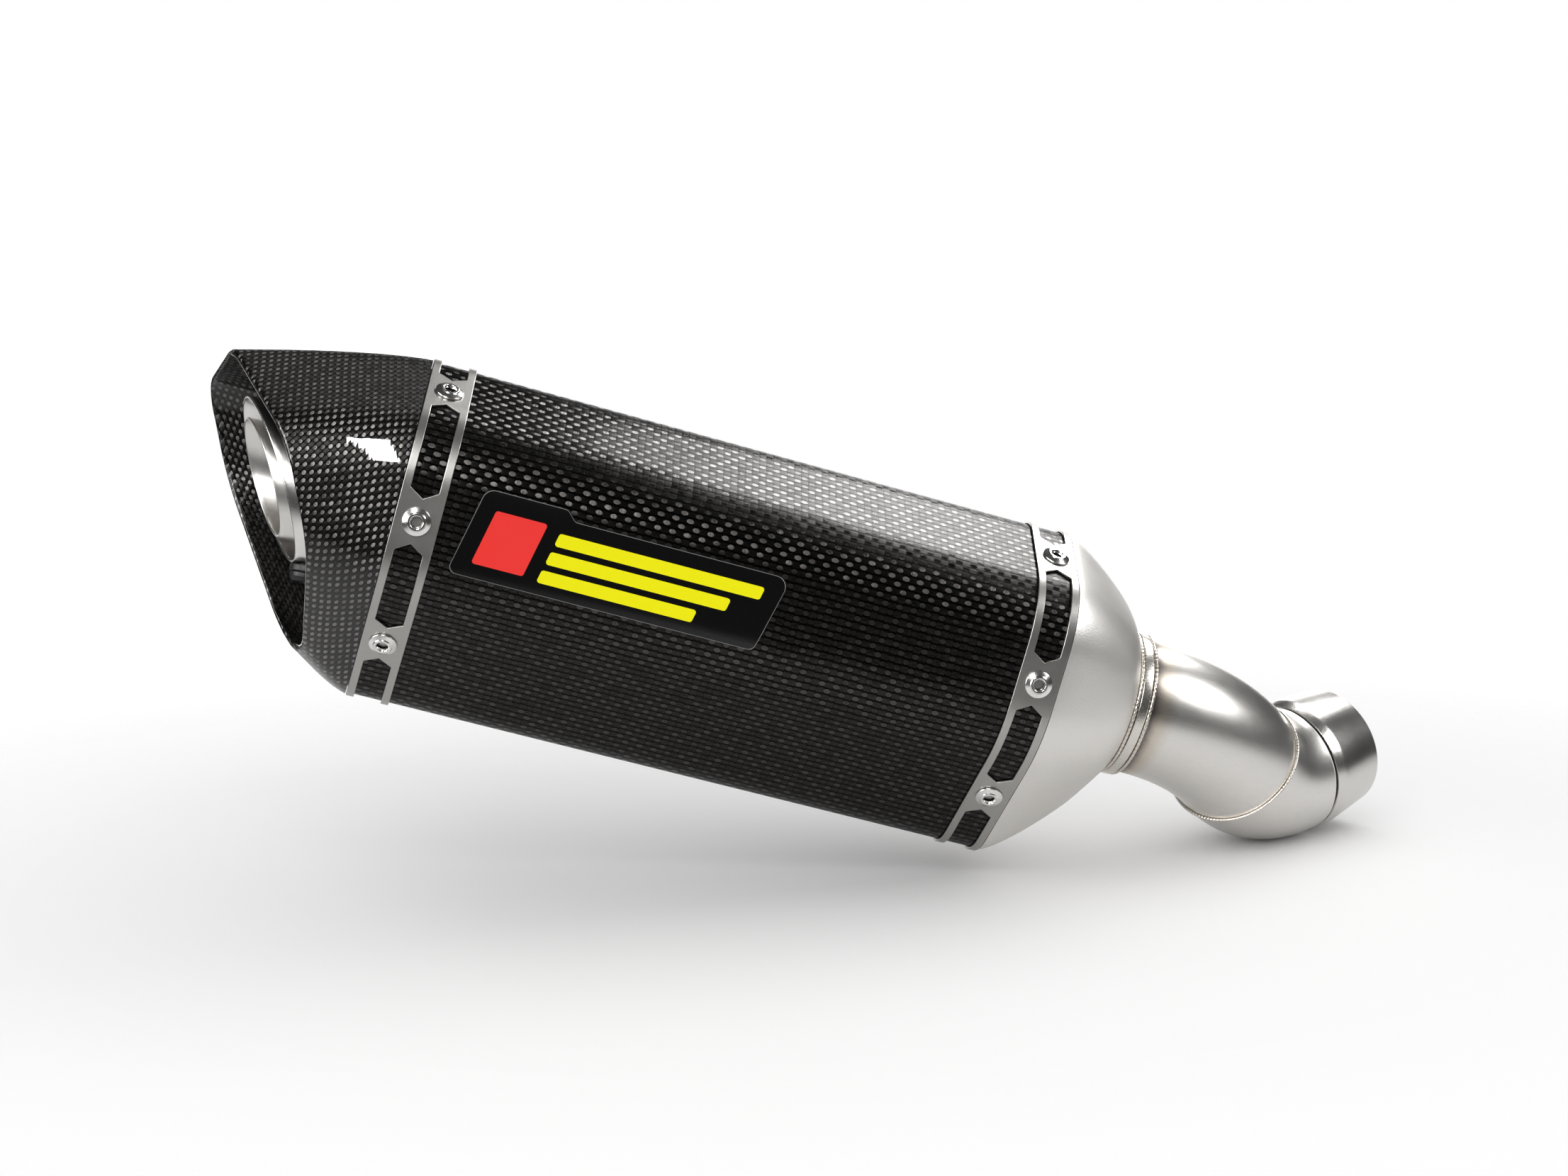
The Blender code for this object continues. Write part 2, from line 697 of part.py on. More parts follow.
def make_inlet_cone():
    """A pressed cone from the body's section to the round pipe, with a spigot in the sleeve."""
    start = BAND_OUTER_X + FIT

    def rows(offset, radius):
        outline = inset(BODY, offset)
        circle = circle_like(BODY, radius, CORE_Z)
        made = []
        for along in CONE_STATIONS:
            blend = (1.0 - CONE_LIP) * along ** CONE_SWELL + CONE_LIP * along ** CONE_LIP_POWER
            x = start + along * (CONE_END_X - start)
            made.append((x, [a.lerp(b, blend) for a, b in zip(outline, circle)]))
        return made

    inner = SPIGOT_OFFSET + SPIGOT_WALL
    profile = rows(SKIN_OFFSET, CONE_END_RADIUS)
    profile += reversed(rows(SKIN_OFFSET + 2.0 * CONE_SHEET, CONE_END_RADIUS - CONE_SHEET)[1:])
    profile += [
        (start + SPIGOT_RAMP, inset(BODY, inner)),
        (start - SPIGOT_DEPTH, inset(BODY, inner)),
        (start - SPIGOT_DEPTH, inset(BODY, SPIGOT_OFFSET)),
        (start, inset(BODY, SPIGOT_OFFSET)),
    ]
    return section_ring("inlet_cone", profile, BLASTED_STEEL)


def bend_frames(frame, bend):
    """Frames along a mandrel bend: it turns towards its roll angle, measured from straight up."""
    ahead = frame.to_3x3() @ Vector((1.0, 0.0, 0.0))
    up = Vector((0.0, 0.0, 1.0))
    up = (up - ahead * up.dot(ahead)).normalized()
    aside = up.cross(ahead)
    towards = up * math.cos(bend["roll"]) + aside * math.sin(bend["roll"])
    pivot = frame.translation + towards * bend["radius"]
    axis = ahead.cross(towards)
    frames = []
    for step in range(BEND_STATIONS + 1):
        turn = Matrix.Rotation(bend["angle"] * step / BEND_STATIONS, 4, axis)
        frames.append(Matrix.Translation(pivot) @ turn @ Matrix.Translation(-pivot) @ frame)
    return frames


def move_along(frame, distance):
    return frame @ Matrix.Translation((distance, 0.0, 0.0))


def pipe_route():
    """Frames of the two bends and of the slip sleeve's start."""
    start = core_placing(PIPE_START_X)
    first = [start] + bend_frames(move_along(start, PIPE_STRAIGHT), FIRST_BEND)
    second = bend_frames(first[-1], SECOND_BEND)
    return first, second, move_along(second[-1], SLEEVE_SETBACK)


def make_link_pipe():
    first, second, sleeve = pipe_route()
    gap = FIT / 2
    first_frames = [*first[:-1], move_along(first[-1], -gap)]
    second_frames = [move_along(second[0], gap), *second[1:]]
    swept_tube("link_pipe_bend", first_frames, PIPE_RADIUS, PIPE_WALL, PIPE_STEEL)
    swept_tube("link_pipe_elbow", second_frames, PIPE_RADIUS, PIPE_WALL, PIPE_STEEL)

    bore = PIPE_RADIUS + FIT
    outer, length = COLLAR_RING_RADIUS, COLLAR_RING_LENGTH
    profile = [(0.0, outer), (length, outer), (length, bore), (0.0, bore)]
    turned_ring("inlet_collar", profile, PIPE_STEEL, core_placing(COLLAR_RING_X))
    spacing = BEAD + FIT
    weld_bead("cone_weld", core_placing(COLLAR_RING_X - spacing), outer - 0.2 * MM, BEAD)
    weld_bead(
        "collar_weld", core_placing(COLLAR_RING_X + length + spacing), bore + BEAD, BEAD
    )
    weld_bead("bend_weld", first[-1], PIPE_RADIUS + 1.1 * MM, 0.6 * MM)
    make_inlet_sleeve(sleeve)


def make_inlet_sleeve(placing):
    """The flared slip sleeve that a header pipe pushes into."""
    length = FLARE_LENGTH + MOUTH_LENGTH
    step = FIT
    profile = [
        (step, PIPE_RADIUS + 0.1 * MM),
        (FLARE_LENGTH, FLARE_RADIUS),
        (length - 0.6 * MM, MOUTH_RADIUS),
        (length, MOUTH_RADIUS - 0.5 * MM),
        (length, MOUTH_RADIUS - SLEEVE_SHEET - 0.6 * MM),
        (FLARE_LENGTH, FLARE_RADIUS - SLEEVE_SHEET - 0.4 * MM),
        (step, PIPE_RADIUS - PIPE_WALL - 0.1 * MM),
    ]
    turned_ring("inlet_sleeve", profile, PIPE_STEEL, placing)


# ---------------------------------------------------------------- label

def make_label():
    """A thin plain decal plate on the flat outer side of the sleeve."""
    face = -(BODY_HALF_WIDTH - SLEEVE_OFFSET) - FIT
    step_x, step_drop = LABEL_STEP
    corner = LABEL_CORNER
    outline = [
        (LABEL_LEFT, LABEL_BOTTOM),
        (LABEL_RIGHT, LABEL_BOTTOM),
        (LABEL_RIGHT + LABEL_LEAN, LABEL_TOP - step_drop - corner),
        (LABEL_RIGHT + LABEL_LEAN - corner, LABEL_TOP - step_drop),
        (step_x + step_drop, LABEL_TOP - step_drop),
        (step_x, LABEL_TOP),
        (LABEL_LEFT + LABEL_LEAN + corner, LABEL_TOP),
        (LABEL_LEFT + LABEL_LEAN, LABEL_TOP - corner),
    ]
    bm = bmesh.new()
    back = [bm.verts.new((x, face, z)) for x, z in outline]
    front = [bm.verts.new((x, face - LABEL_THICKNESS, z)) for x, z in outline]
    bm.faces.new(back)
    bm.faces.new(front)
    for index in range(len(outline)):
        other = (index + 1) % len(outline)
        bm.faces.new((back[index], back[other], front[other], front[index]))
    finish_mesh("label_plate", bm, LABEL_BLACK)


# ---------------------------------------------------------------- assembly

def clear_scene():
    for obj in list(bpy.data.objects):
        bpy.data.objects.remove(obj)


def make_muffler_frame():
    """The empty that leans the muffler and puts the inlet mouth's centre at the origin."""
    frame = bpy.data.objects.new("muffler_frame", None)
    bpy.context.collection.objects.link(frame)
    mouth = move_along(pipe_route()[2], FLARE_LENGTH + MOUTH_LENGTH).translation
    lean = Matrix.Rotation(HANGING_ANGLE, 4, "Y")
    frame.matrix_world = lean @ Matrix.Translation(-mouth)
    return frame


def build():
    sleeve = make_outer_sleeve()
    cap = make_end_cap()
    cone = make_inlet_cone()
    outlet_band = make_band("outlet_band", -1)
    inlet_band = make_band("inlet_band", 1)
    make_rivet_row(-1, "outlet", (outlet_band, sleeve, cap))
    make_rivet_row(1, "inlet", (inlet_band, sleeve, cone))
    make_inside()
    make_outlet_tip()
    make_noise_insert()
    make_link_pipe()
    make_label()


clear_scene()
MUFFLER = make_muffler_frame()
build()
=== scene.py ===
"""Looks of the exhaust muffler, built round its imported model.

Every visible sub-part gets a fine mesh that replaces the plain solid of the same shape, and a procedural
material: clear-coated carbon weave, satin bands, blasted and brushed stainless steel, weld beads, polished
rivets and a plain decal. The hidden sub-parts keep their solids and get materials of their own.

Lengths are in metres. Shapes are drawn in the muffler's own frame, +X along its axis towards the inlet and
+Y towards the wheel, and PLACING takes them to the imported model's frame.
"""

import math

import bmesh
import bpy
from mathutils import Matrix, Vector


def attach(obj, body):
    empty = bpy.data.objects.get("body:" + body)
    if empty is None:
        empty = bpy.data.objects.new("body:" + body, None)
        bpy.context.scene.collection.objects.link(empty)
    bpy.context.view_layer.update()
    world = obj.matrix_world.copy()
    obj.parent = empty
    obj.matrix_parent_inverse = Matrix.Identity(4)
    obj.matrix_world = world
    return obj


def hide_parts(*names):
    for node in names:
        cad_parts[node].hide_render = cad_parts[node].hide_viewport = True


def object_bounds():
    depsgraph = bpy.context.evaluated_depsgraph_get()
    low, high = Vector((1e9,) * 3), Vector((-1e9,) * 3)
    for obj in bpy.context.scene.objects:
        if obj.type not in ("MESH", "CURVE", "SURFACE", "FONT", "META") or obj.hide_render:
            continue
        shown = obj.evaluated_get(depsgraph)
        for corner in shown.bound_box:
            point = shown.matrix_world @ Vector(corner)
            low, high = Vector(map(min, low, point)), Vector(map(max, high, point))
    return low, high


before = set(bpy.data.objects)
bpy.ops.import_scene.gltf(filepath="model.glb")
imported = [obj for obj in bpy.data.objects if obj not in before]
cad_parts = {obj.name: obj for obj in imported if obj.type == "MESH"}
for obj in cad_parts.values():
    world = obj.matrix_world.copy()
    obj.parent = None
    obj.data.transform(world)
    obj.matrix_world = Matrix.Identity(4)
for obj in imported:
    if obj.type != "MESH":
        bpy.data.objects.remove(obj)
cad_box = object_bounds()

MM = 0.001
TAU = 2.0 * math.pi
FIT = 0.3 * MM
HANGING_ANGLE = math.radians(16.1)

# Cross-section of the body, and the slanted mouth of the end cap.
BODY_SIZE = {
    "half_width": 46.4 * MM, "crown": 62.0 * MM, "shoulder": 41.4 * MM,
    "waist": -10.1 * MM, "keel": -62.0 * MM,
}
BODY_RADII = {"crown": 18.7 * MM, "shoulder": 27.8 * MM, "waist": 42.8 * MM, "keel": 17.3 * MM}
RIM_SIZE = {
    "half_width": 42.2 * MM, "crown": 47.0 * MM, "shoulder": 29.0 * MM,
    "waist": -7.0 * MM, "keel": -50.6 * MM,
}
RIM_RADII = {"crown": 14.0 * MM, "shoulder": 20.0 * MM, "waist": 38.0 * MM, "keel": 20.0 * MM}
RIM_TIP_X = -186.5 * MM
RIM_RAKE = 0.462
RIM_YAW = math.tan(math.radians(22.0))
ARC_STEPS = 12
FLAT_STEPS = 5

BAND_OUTER_X = 119.0 * MM
BAND_WIDTH = 15.3 * MM
BAND_SHEET = 0.8 * MM
WINDOW_HALF_WIDTH = 4.85 * MM
WINDOW_POINT = 3.0 * MM
WINDOW_BRIDGE = 7.9 * MM
WINDOW_CORNER = 0.7 * MM
SLEEVE_OFFSET = BAND_SHEET + FIT
SLEEVE_WALL = 2.0 * MM
SPIGOT_OFFSET = SLEEVE_OFFSET + SLEEVE_WALL + FIT
SPIGOT_WALL = 1.5 * MM
SPIGOT_DEPTH = 14.5 * MM
SKIN_OFFSET = 0.4 * MM
CAP_WALL = 2.4 * MM
CAP_ROWS = 30
CAP_TAPER = 1.3
RIVET_ARCS = (22.8 * MM, 77.5 * MM, 129.2 * MM)
RIVET_X = 111.4 * MM
RIVET_SEAT = 0.2 * MM
MANDREL_BREAKS = (-0.3, -0.5, -1.4, -0.6, -0.3, -1.2)
BRIDGE_STEPS = 10

CORE_Z = 6.0 * MM
BULKHEAD_X = -116.0 * MM
TIP_RADIUS = 26.5 * MM
TIP_WALL = 1.2 * MM
TIP_INNER_X = -88.0 * MM
TIP_MOUTH_X = -163.8 * MM
TIP_RAKE = 0.505
TIP_YAW = math.tan(math.radians(17.0))
INSERT_RADIUS = 19.1 * MM
INSERT_WALL = 1.0 * MM
INSERT_INNER_X = -92.0 * MM
INSERT_MOUTH_X = -166.2 * MM
INSERT_RAKE = 0.479
BOLT_ANGLE = math.radians(15.0)
BOLT_X = -143.5 * MM
BOLT_SHANK = 3.0 * MM
BOSS_RADIUS = 5.6 * MM
BOSS_HEIGHT = 2.6 * MM

CONE_END_X = 154.0 * MM
CONE_END_RADIUS = 27.6 * MM
CONE_SHEET = 1.2 * MM
CONE_ROWS = 30
CONE_SWELL = 1.3
CONE_LIP = 0.15
CONE_LIP_POWER = 12
PIPE_RADIUS = 25.4 * MM
PIPE_WALL = 1.2 * MM
PIPE_START_X = 150.0 * MM
PIPE_STRAIGHT = 13.9 * MM
FIRST_BEND = {"radius": 71.5 * MM, "angle": math.radians(42.7), "roll": math.radians(132.0)}
SECOND_BEND = {"radius": 41.0 * MM, "angle": math.radians(50.5), "roll": math.radians(-1.0)}
BEND_STATIONS = 28
BEAD = 0.7 * MM
COLLAR_RING_X = 156.0 * MM
COLLAR_RING_LENGTH = 3.6 * MM
COLLAR_RING_RADIUS = 27.2 * MM
SLEEVE_SETBACK = 1.3 * MM
FLARE_RADIUS = 26.4 * MM
FLARE_LENGTH = 4.4 * MM
MOUTH_RADIUS = 23.9 * MM
MOUTH_LENGTH = 22.4 * MM
SLEEVE_SHEET = 1.3 * MM

SLEEVE_TOW = 2.6 * MM
CAP_TOW = 2.0 * MM
SLEEVE_FLOAT = (0.52, 0.36)
CAP_FLOAT = (0.46, 0.42)
TOW_TILT = 0.05
FLAT_TOP = 2.5
FIBRE_SHEEN = 0.85
QUARTER_TURN = 0.25
# Colours of the brightest floats: partly the carbon's own colour and partly painted highlight. The cap's
# colour is painted brighter than the sleeve's.
SLEEVE_LIGHT = (0.080, 0.076, 0.072)
CAP_LIGHT = (0.170, 0.162, 0.155)
CAP_BIAS = math.radians(37.0)
CAP_DRAPE = 1.15
UV_NAME = "Surface"

LABEL = {"left": -97.4 * MM, "right": 10.4 * MM, "top": 60.7 * MM, "bottom": 91.6 * MM, "lean": 6.0 * MM}
# Width of the grey rim round the label: a painted highlight on the film's edge.
LABEL_HIGHLIGHT_RIM = 0.22 * MM
LABEL_STEP = {"x": -62.0 * MM, "drop": 3.6 * MM}

FLOOR_REACH = (0.42, 0.30)
STUDIO_CENTRE = (-0.2, -0.045, 0.06)
ROOM_GLOSS = 0.04
ROOM_FILL = 0.45
# How much darker the floor's colour is painted where it is seen in reflections: a painted shade.
FLOOR_REFLECTION_SHADE = 0.85


# ---- outlines

def filleted(corners, closed=True, steps=6):
    """A polyline through corners (x, y, radius), with each corner rounded to its radius."""
    count = len(corners)
    outline = []
    for index, (x, y, radius) in enumerate(corners):
        here = Vector((x, y))
        if radius == 0.0 or (not closed and index in (0, count - 1)):
            outline.append(here)
            continue
        before = (Vector(corners[index - 1][:2]) - here).normalized()
        after = (Vector(corners[(index + 1) % count][:2]) - here).normalized()
        half = 0.5 * before.angle(after)
        bisector = (before + after).normalized()
        centre = here + bisector * (radius / math.sin(half))
        start = here + before * (radius / math.tan(half)) - centre
        end = here + after * (radius / math.tan(half)) - centre
        turn = start.angle_signed(end)
        for step in range(steps + 1):
            angle = -turn * step / steps
            outline.append(centre + Matrix.Rotation(angle, 2) @ start)
    return outline


def sharp_apex(half_width, shoulder, crown, radius):
    """Height of the sharp corner that, once rounded, just reaches the crown."""
    height = crown
    for _ in range(40):
        half_angle = math.atan2(half_width, height - shoulder)
        height = crown + radius * (1.0 / math.sin(half_angle) - 1.0)
    return height


def kite_section(size, radii):
    """Points and outward normals (y, z) round a kite, from its crown down the outer side."""
    half_width, shoulder, waist = size["half_width"], size["shoulder"], size["waist"]
    top = sharp_apex(half_width, shoulder, size["crown"], radii["crown"])
    bottom = -sharp_apex(half_width, -waist, -size["keel"], radii["keel"])
    corners = [
        (Vector((0.0, top)), radii["crown"]),
        (Vector((-half_width, shoulder)), radii["shoulder"]),
        (Vector((-half_width, waist)), radii["waist"]),
        (Vector((0.0, bottom)), radii["keel"]),
        (Vector((half_width, waist)), radii["waist"]),
        (Vector((half_width, shoulder)), radii["shoulder"]),
    ]
    arcs = []
    for index, (corner, radius) in enumerate(corners):
        before = (corner - corners[index - 1][0]).normalized()
        after = (corners[(index + 1) % len(corners)][0] - corner).normalized()
        turn = math.acos(max(-1.0, min(1.0, before.dot(after))))
        inward = Vector((-before.y, before.x))
        centre = corner - before * radius * math.tan(turn / 2) + inward * radius
        start = math.atan2(-inward.y, -inward.x)
        arc = []
        for step in range(ARC_STEPS + 1):
            angle = start + turn * step / ARC_STEPS
            normal = Vector((math.cos(angle), math.sin(angle)))
            arc.append((centre + normal * radius, normal))
        arcs.append(arc)
    outline = []
    for index, arc in enumerate(arcs):
        outline += arc
        (here, normal), (there, _) = arc[-1], arcs[(index + 1) % len(arcs)][0]
        for step in range(1, FLAT_STEPS):
            outline.append((here.lerp(there, step / FLAT_STEPS), normal))
    crown = ARC_STEPS // 2
    return outline[crown:] + outline[:crown]


BODY = kite_section(BODY_SIZE, BODY_RADII)
RIM = kite_section(RIM_SIZE, RIM_RADII)


def inset(outline, offset):
    """The outline's points moved inwards by an offset."""
    return [point - normal * offset for point, normal in outline]


def circle_like(outline, radius, centre_z):
    """A circle with one point in the direction of each point of an outline."""
    centre = Vector((0.0, centre_z))
    return [centre + (point - centre).normalized() * radius for point, _ in outline]


def lengths_round(points):
    """Distance of each point from the crown, the last value closing the ring."""
    distances = [0.0]
    for index in range(len(points)):
        step = points[(index + 1) % len(points)] - points[index]
        distances.append(distances[-1] + step.length)
    return distances


ARCS = lengths_round([point for point, _ in BODY])
PERIMETER = ARCS[-1]


def on_body(arc_length):
    """Point and normal of the body's outline at a distance from the crown, positive on the outer side."""
    along = arc_length % PERIMETER
    index = max(i for i, value in enumerate(ARCS[:-1]) if value <= along)
    (here, start), (there, end) = BODY[index], BODY[(index + 1) % len(BODY)]
    share = (along - ARCS[index]) / (ARCS[index + 1] - ARCS[index])
    return here.lerp(there, share), start.lerp(end, share).normalized()


# ---- pipe route and placing

def move_along(place, distance):
    return place @ Matrix.Translation((distance, 0.0, 0.0))


def core_placing(x=0.0):
    return Matrix.Translation((x, 0.0, CORE_Z))


def bend_frames(start, bend):
    """Frames along a mandrel bend: it turns towards its roll angle, measured from straight up."""
    ahead = start.to_3x3() @ Vector((1.0, 0.0, 0.0))
    up = Vector((0.0, 0.0, 1.0))
    up = (up - ahead * up.dot(ahead)).normalized()
    aside = up.cross(ahead)
    towards = up * math.cos(bend["roll"]) + aside * math.sin(bend["roll"])
    pivot = start.translation + towards * bend["radius"]
    axis = ahead.cross(towards)
    frames = []
    for step in range(BEND_STATIONS + 1):
        turn = Matrix.Rotation(bend["angle"] * step / BEND_STATIONS, 4, axis)
        frames.append(Matrix.Translation(pivot) @ turn @ Matrix.Translation(-pivot) @ start)
    return frames


def pipe_route():
    """Frames of the two bends and of the slip sleeve's start."""
    start = core_placing(PIPE_START_X)
    first = [start] + bend_frames(move_along(start, PIPE_STRAIGHT), FIRST_BEND)
    second = bend_frames(first[-1], SECOND_BEND)
    return first, second, move_along(second[-1], SLEEVE_SETBACK)


FIRST_PIPE, SECOND_PIPE, SLEEVE_PLACE = pipe_route()
MOUTH = move_along(SLEEVE_PLACE, FLARE_LENGTH + MOUTH_LENGTH).translation
PLACING = Matrix.Rotation(HANGING_ANGLE, 4, "Y") @ Matrix.Translation(-MOUTH)


def axis_placing(point, direction):
    """A placing with +X along a direction."""
    return Matrix.Translation(point) @ Vector(direction).to_track_quat("X", "Z").to_matrix().to_4x4()


# ---- meshes

def new_object(name, data):
    """An object of the data, in the scene."""
    made = bpy.data.objects.new(name, data)
    bpy.context.scene.collection.objects.link(made)
    return made


def make_piece(name, points, faces, corners, material, sharp=40.0):
    """A named object from points in the muffler's frame, with one UV pair for each face corner."""
    mesh = bpy.data.meshes.new(name)
    mesh.from_pydata([tuple(PLACING @ Vector(point)) for point in points], [], faces)
    layer = mesh.uv_layers.new(name=UV_NAME)
    layer.data.foreach_set("uv", [value for corner in corners for value in corner])
    bm = bmesh.new()
    bm.from_mesh(mesh)
    bmesh.ops.remove_doubles(bm, verts=bm.verts, dist=1e-6)
    bmesh.ops.recalc_face_normals(bm, faces=bm.faces)
    bm.to_mesh(mesh)
    bm.free()
    mesh.polygons.foreach_set("use_smooth", [True] * len(mesh.polygons))
    mesh.set_sharp_from_angle(angle=math.radians(sharp))
    mesh.materials.append(material)
    return new_object(name, mesh)


def loft(name, grid, uv, material, closed=True, sharp=40.0):
    """A ring of stations round the part: grid[station][row] are points, uv one wider and longer."""
    stations, rows = len(grid), len(grid[0])
    points = [point for station in grid for point in station]
    faces, corners = [], []
    for station in range(stations):
        following = (station + 1) % stations
        for row in range(rows if closed else rows - 1):
            other = (row + 1) % rows
            faces.append((
                station * rows + row, following * rows + row, following * rows + other, station * rows + other
            ))
            corners += [
                uv[station][row], uv[station + 1][row], uv[station + 1][row + 1], uv[station][row + 1]
            ]
    return make_piece(name, points, faces, corners, material, sharp)


def turned(name, profile, placing, material, closed=True, steps=96, wobble=None):
    """A turned piece about its placing's X axis, from a profile of (x, radius)."""
    reach = [0.0]
    for here, there in zip(profile, [*profile[1:], profile[0]]):
        reach.append(reach[-1] + (Vector(there) - Vector(here)).length)
    widest = max(radius for _, radius in profile)
    grid, uv = [], []
    for step in range(steps + 1):
        angle = TAU * step / steps
        across = Vector((0.0, math.cos(angle), math.sin(angle)))
        rows = profile if wobble is None else wobble(profile, angle)
        grid.append([placing @ (Vector((x, 0.0, 0.0)) + across * radius) for x, radius in rows])
        uv.append([(length, angle * widest) for length in reach])
    return loft(name, grid[:-1], uv, material, closed)


def swept(name, frames, outer, wall, material):
    """A tube along frames; U runs along it and V round it."""
    along = [0.0]
    for here, there in zip(frames, frames[1:]):
        along.append(along[-1] + (there.translation - here.translation).length)
    steps = 96
    grid, uv = [], []
    for step in range(steps + 1):
        angle = TAU * step / steps
        across = Vector((0.0, math.cos(angle), math.sin(angle)))
        grid.append(
            [place @ (across * outer) for place in frames]
            + [place @ (across * (outer - wall)) for place in reversed(frames)]
        )
        uv.append([(u, angle * outer) for u in [*along, *reversed(along), along[0]]])
    return loft(name, grid[:-1], uv, material)


def body_ring(name, profile, material):
    """A ring that follows the body: the profile is a closed list of (x, outline points)."""
    grid, uv = [], []
    reach = [0.0]
    for (here, _), (there, _) in zip(profile, [*profile[1:], profile[0]]):
        reach.append(reach[-1] + abs(there - here))
    for index in range(len(BODY) + 1):
        wrapped = index % len(BODY)
        grid.append([(x, points[wrapped].x, points[wrapped].y) for x, points in profile])
        arc = ARCS[index]
        uv.append([(x, arc) for x, _ in profile] + [(profile[0][0], arc)])
    return loft(name, grid[:-1], uv, material)


# ---- material tools

def add(tree, kind, inputs=None, **settings):
    """One shader node with its settings, inputs given as values or as other nodes' sockets."""
    made = tree.nodes.new("ShaderNode" + kind)
    for name, value in settings.items():
        setattr(made, name, value)
    for key, value in (inputs or {}).items():
        if isinstance(value, bpy.types.NodeSocket):
            tree.links.new(value, made.inputs[key])
        else:
            made.inputs[key].default_value = value
    return made


def calc(tree, operation, first, second=0.0, third=0.0):
    return add(tree, "Math", {0: first, 1: second, 2: third}, operation=operation).outputs[0]


def blend_value(tree, share, low, high):
    """low + share * (high - low), for sockets or numbers."""
    mix = add(tree, "Mix", {0: share}, data_type="FLOAT")
    for socket, value in ((mix.inputs[2], low), (mix.inputs[3], high)):
        if isinstance(value, bpy.types.NodeSocket):
            tree.links.new(value, socket)
        else:
            socket.default_value = value
    return mix.outputs[0]


def ramp(tree, value, stops):
    """A colour ramp from (place, grey or colour) stops."""
    made = add(tree, "ValToRGB", {0: value})
    points = made.color_ramp.elements
    while len(points) < len(stops):
        points.new(0.5)
    for point, (place, colour) in zip(points, stops):
        point.position = place
        point.color = (colour, colour, colour, 1.0) if isinstance(colour, float) else (*colour, 1.0)
    return made.outputs[0]


def noise(tree, vector, scale, detail=3.0, roughness=0.5):
    inputs = {"Vector": vector, "Scale": scale, "Detail": detail, "Roughness": roughness}
    return add(tree, "TexNoise", inputs).outputs[0]


def stretched(tree, vector, scale):
    return add(tree, "VectorMath", {0: vector, 1: scale}, operation="MULTIPLY").outputs[0]


def scaled(tree, vector, factor):
    return add(tree, "VectorMath", {0: vector, "Scale": factor}, operation="SCALE").outputs[0]


def new_material(name):
    """A material with an empty tree but for its Principled shader, and its surface map's socket."""
    material = bpy.data.materials.new(name)
    material.use_nodes = True
    tree = material.node_tree
    shader = tree.nodes["Principled BSDF"]
    surface = add(tree, "UVMap", uv_map=UV_NAME).outputs[0]
    return material, tree, shader, surface


def link(tree, socket, target):
    tree.links.new(socket, target)


def shaded(tree, colour, shade):
    """A colour multiplied by a grey value."""
    base = add(tree, "Mix", {0: 1.0}, data_type="RGBA", blend_type="MULTIPLY")
    base.inputs[6].default_value = (*colour, 1.0)
    link(tree, add(tree, "CombineColor", {0: shade, 1: shade, 2: shade}).outputs[0], base.inputs[7])
    return base.outputs[2]


def roughen(tree, shader, height, strength, distance=0.0002):
    """Bumps the shader's surface by a height."""
    bump = add(tree, "Bump", {"Height": height, "Strength": strength, "Distance": distance})
    link(tree, bump.outputs[0], shader.inputs["Normal"])


# ---- carbon

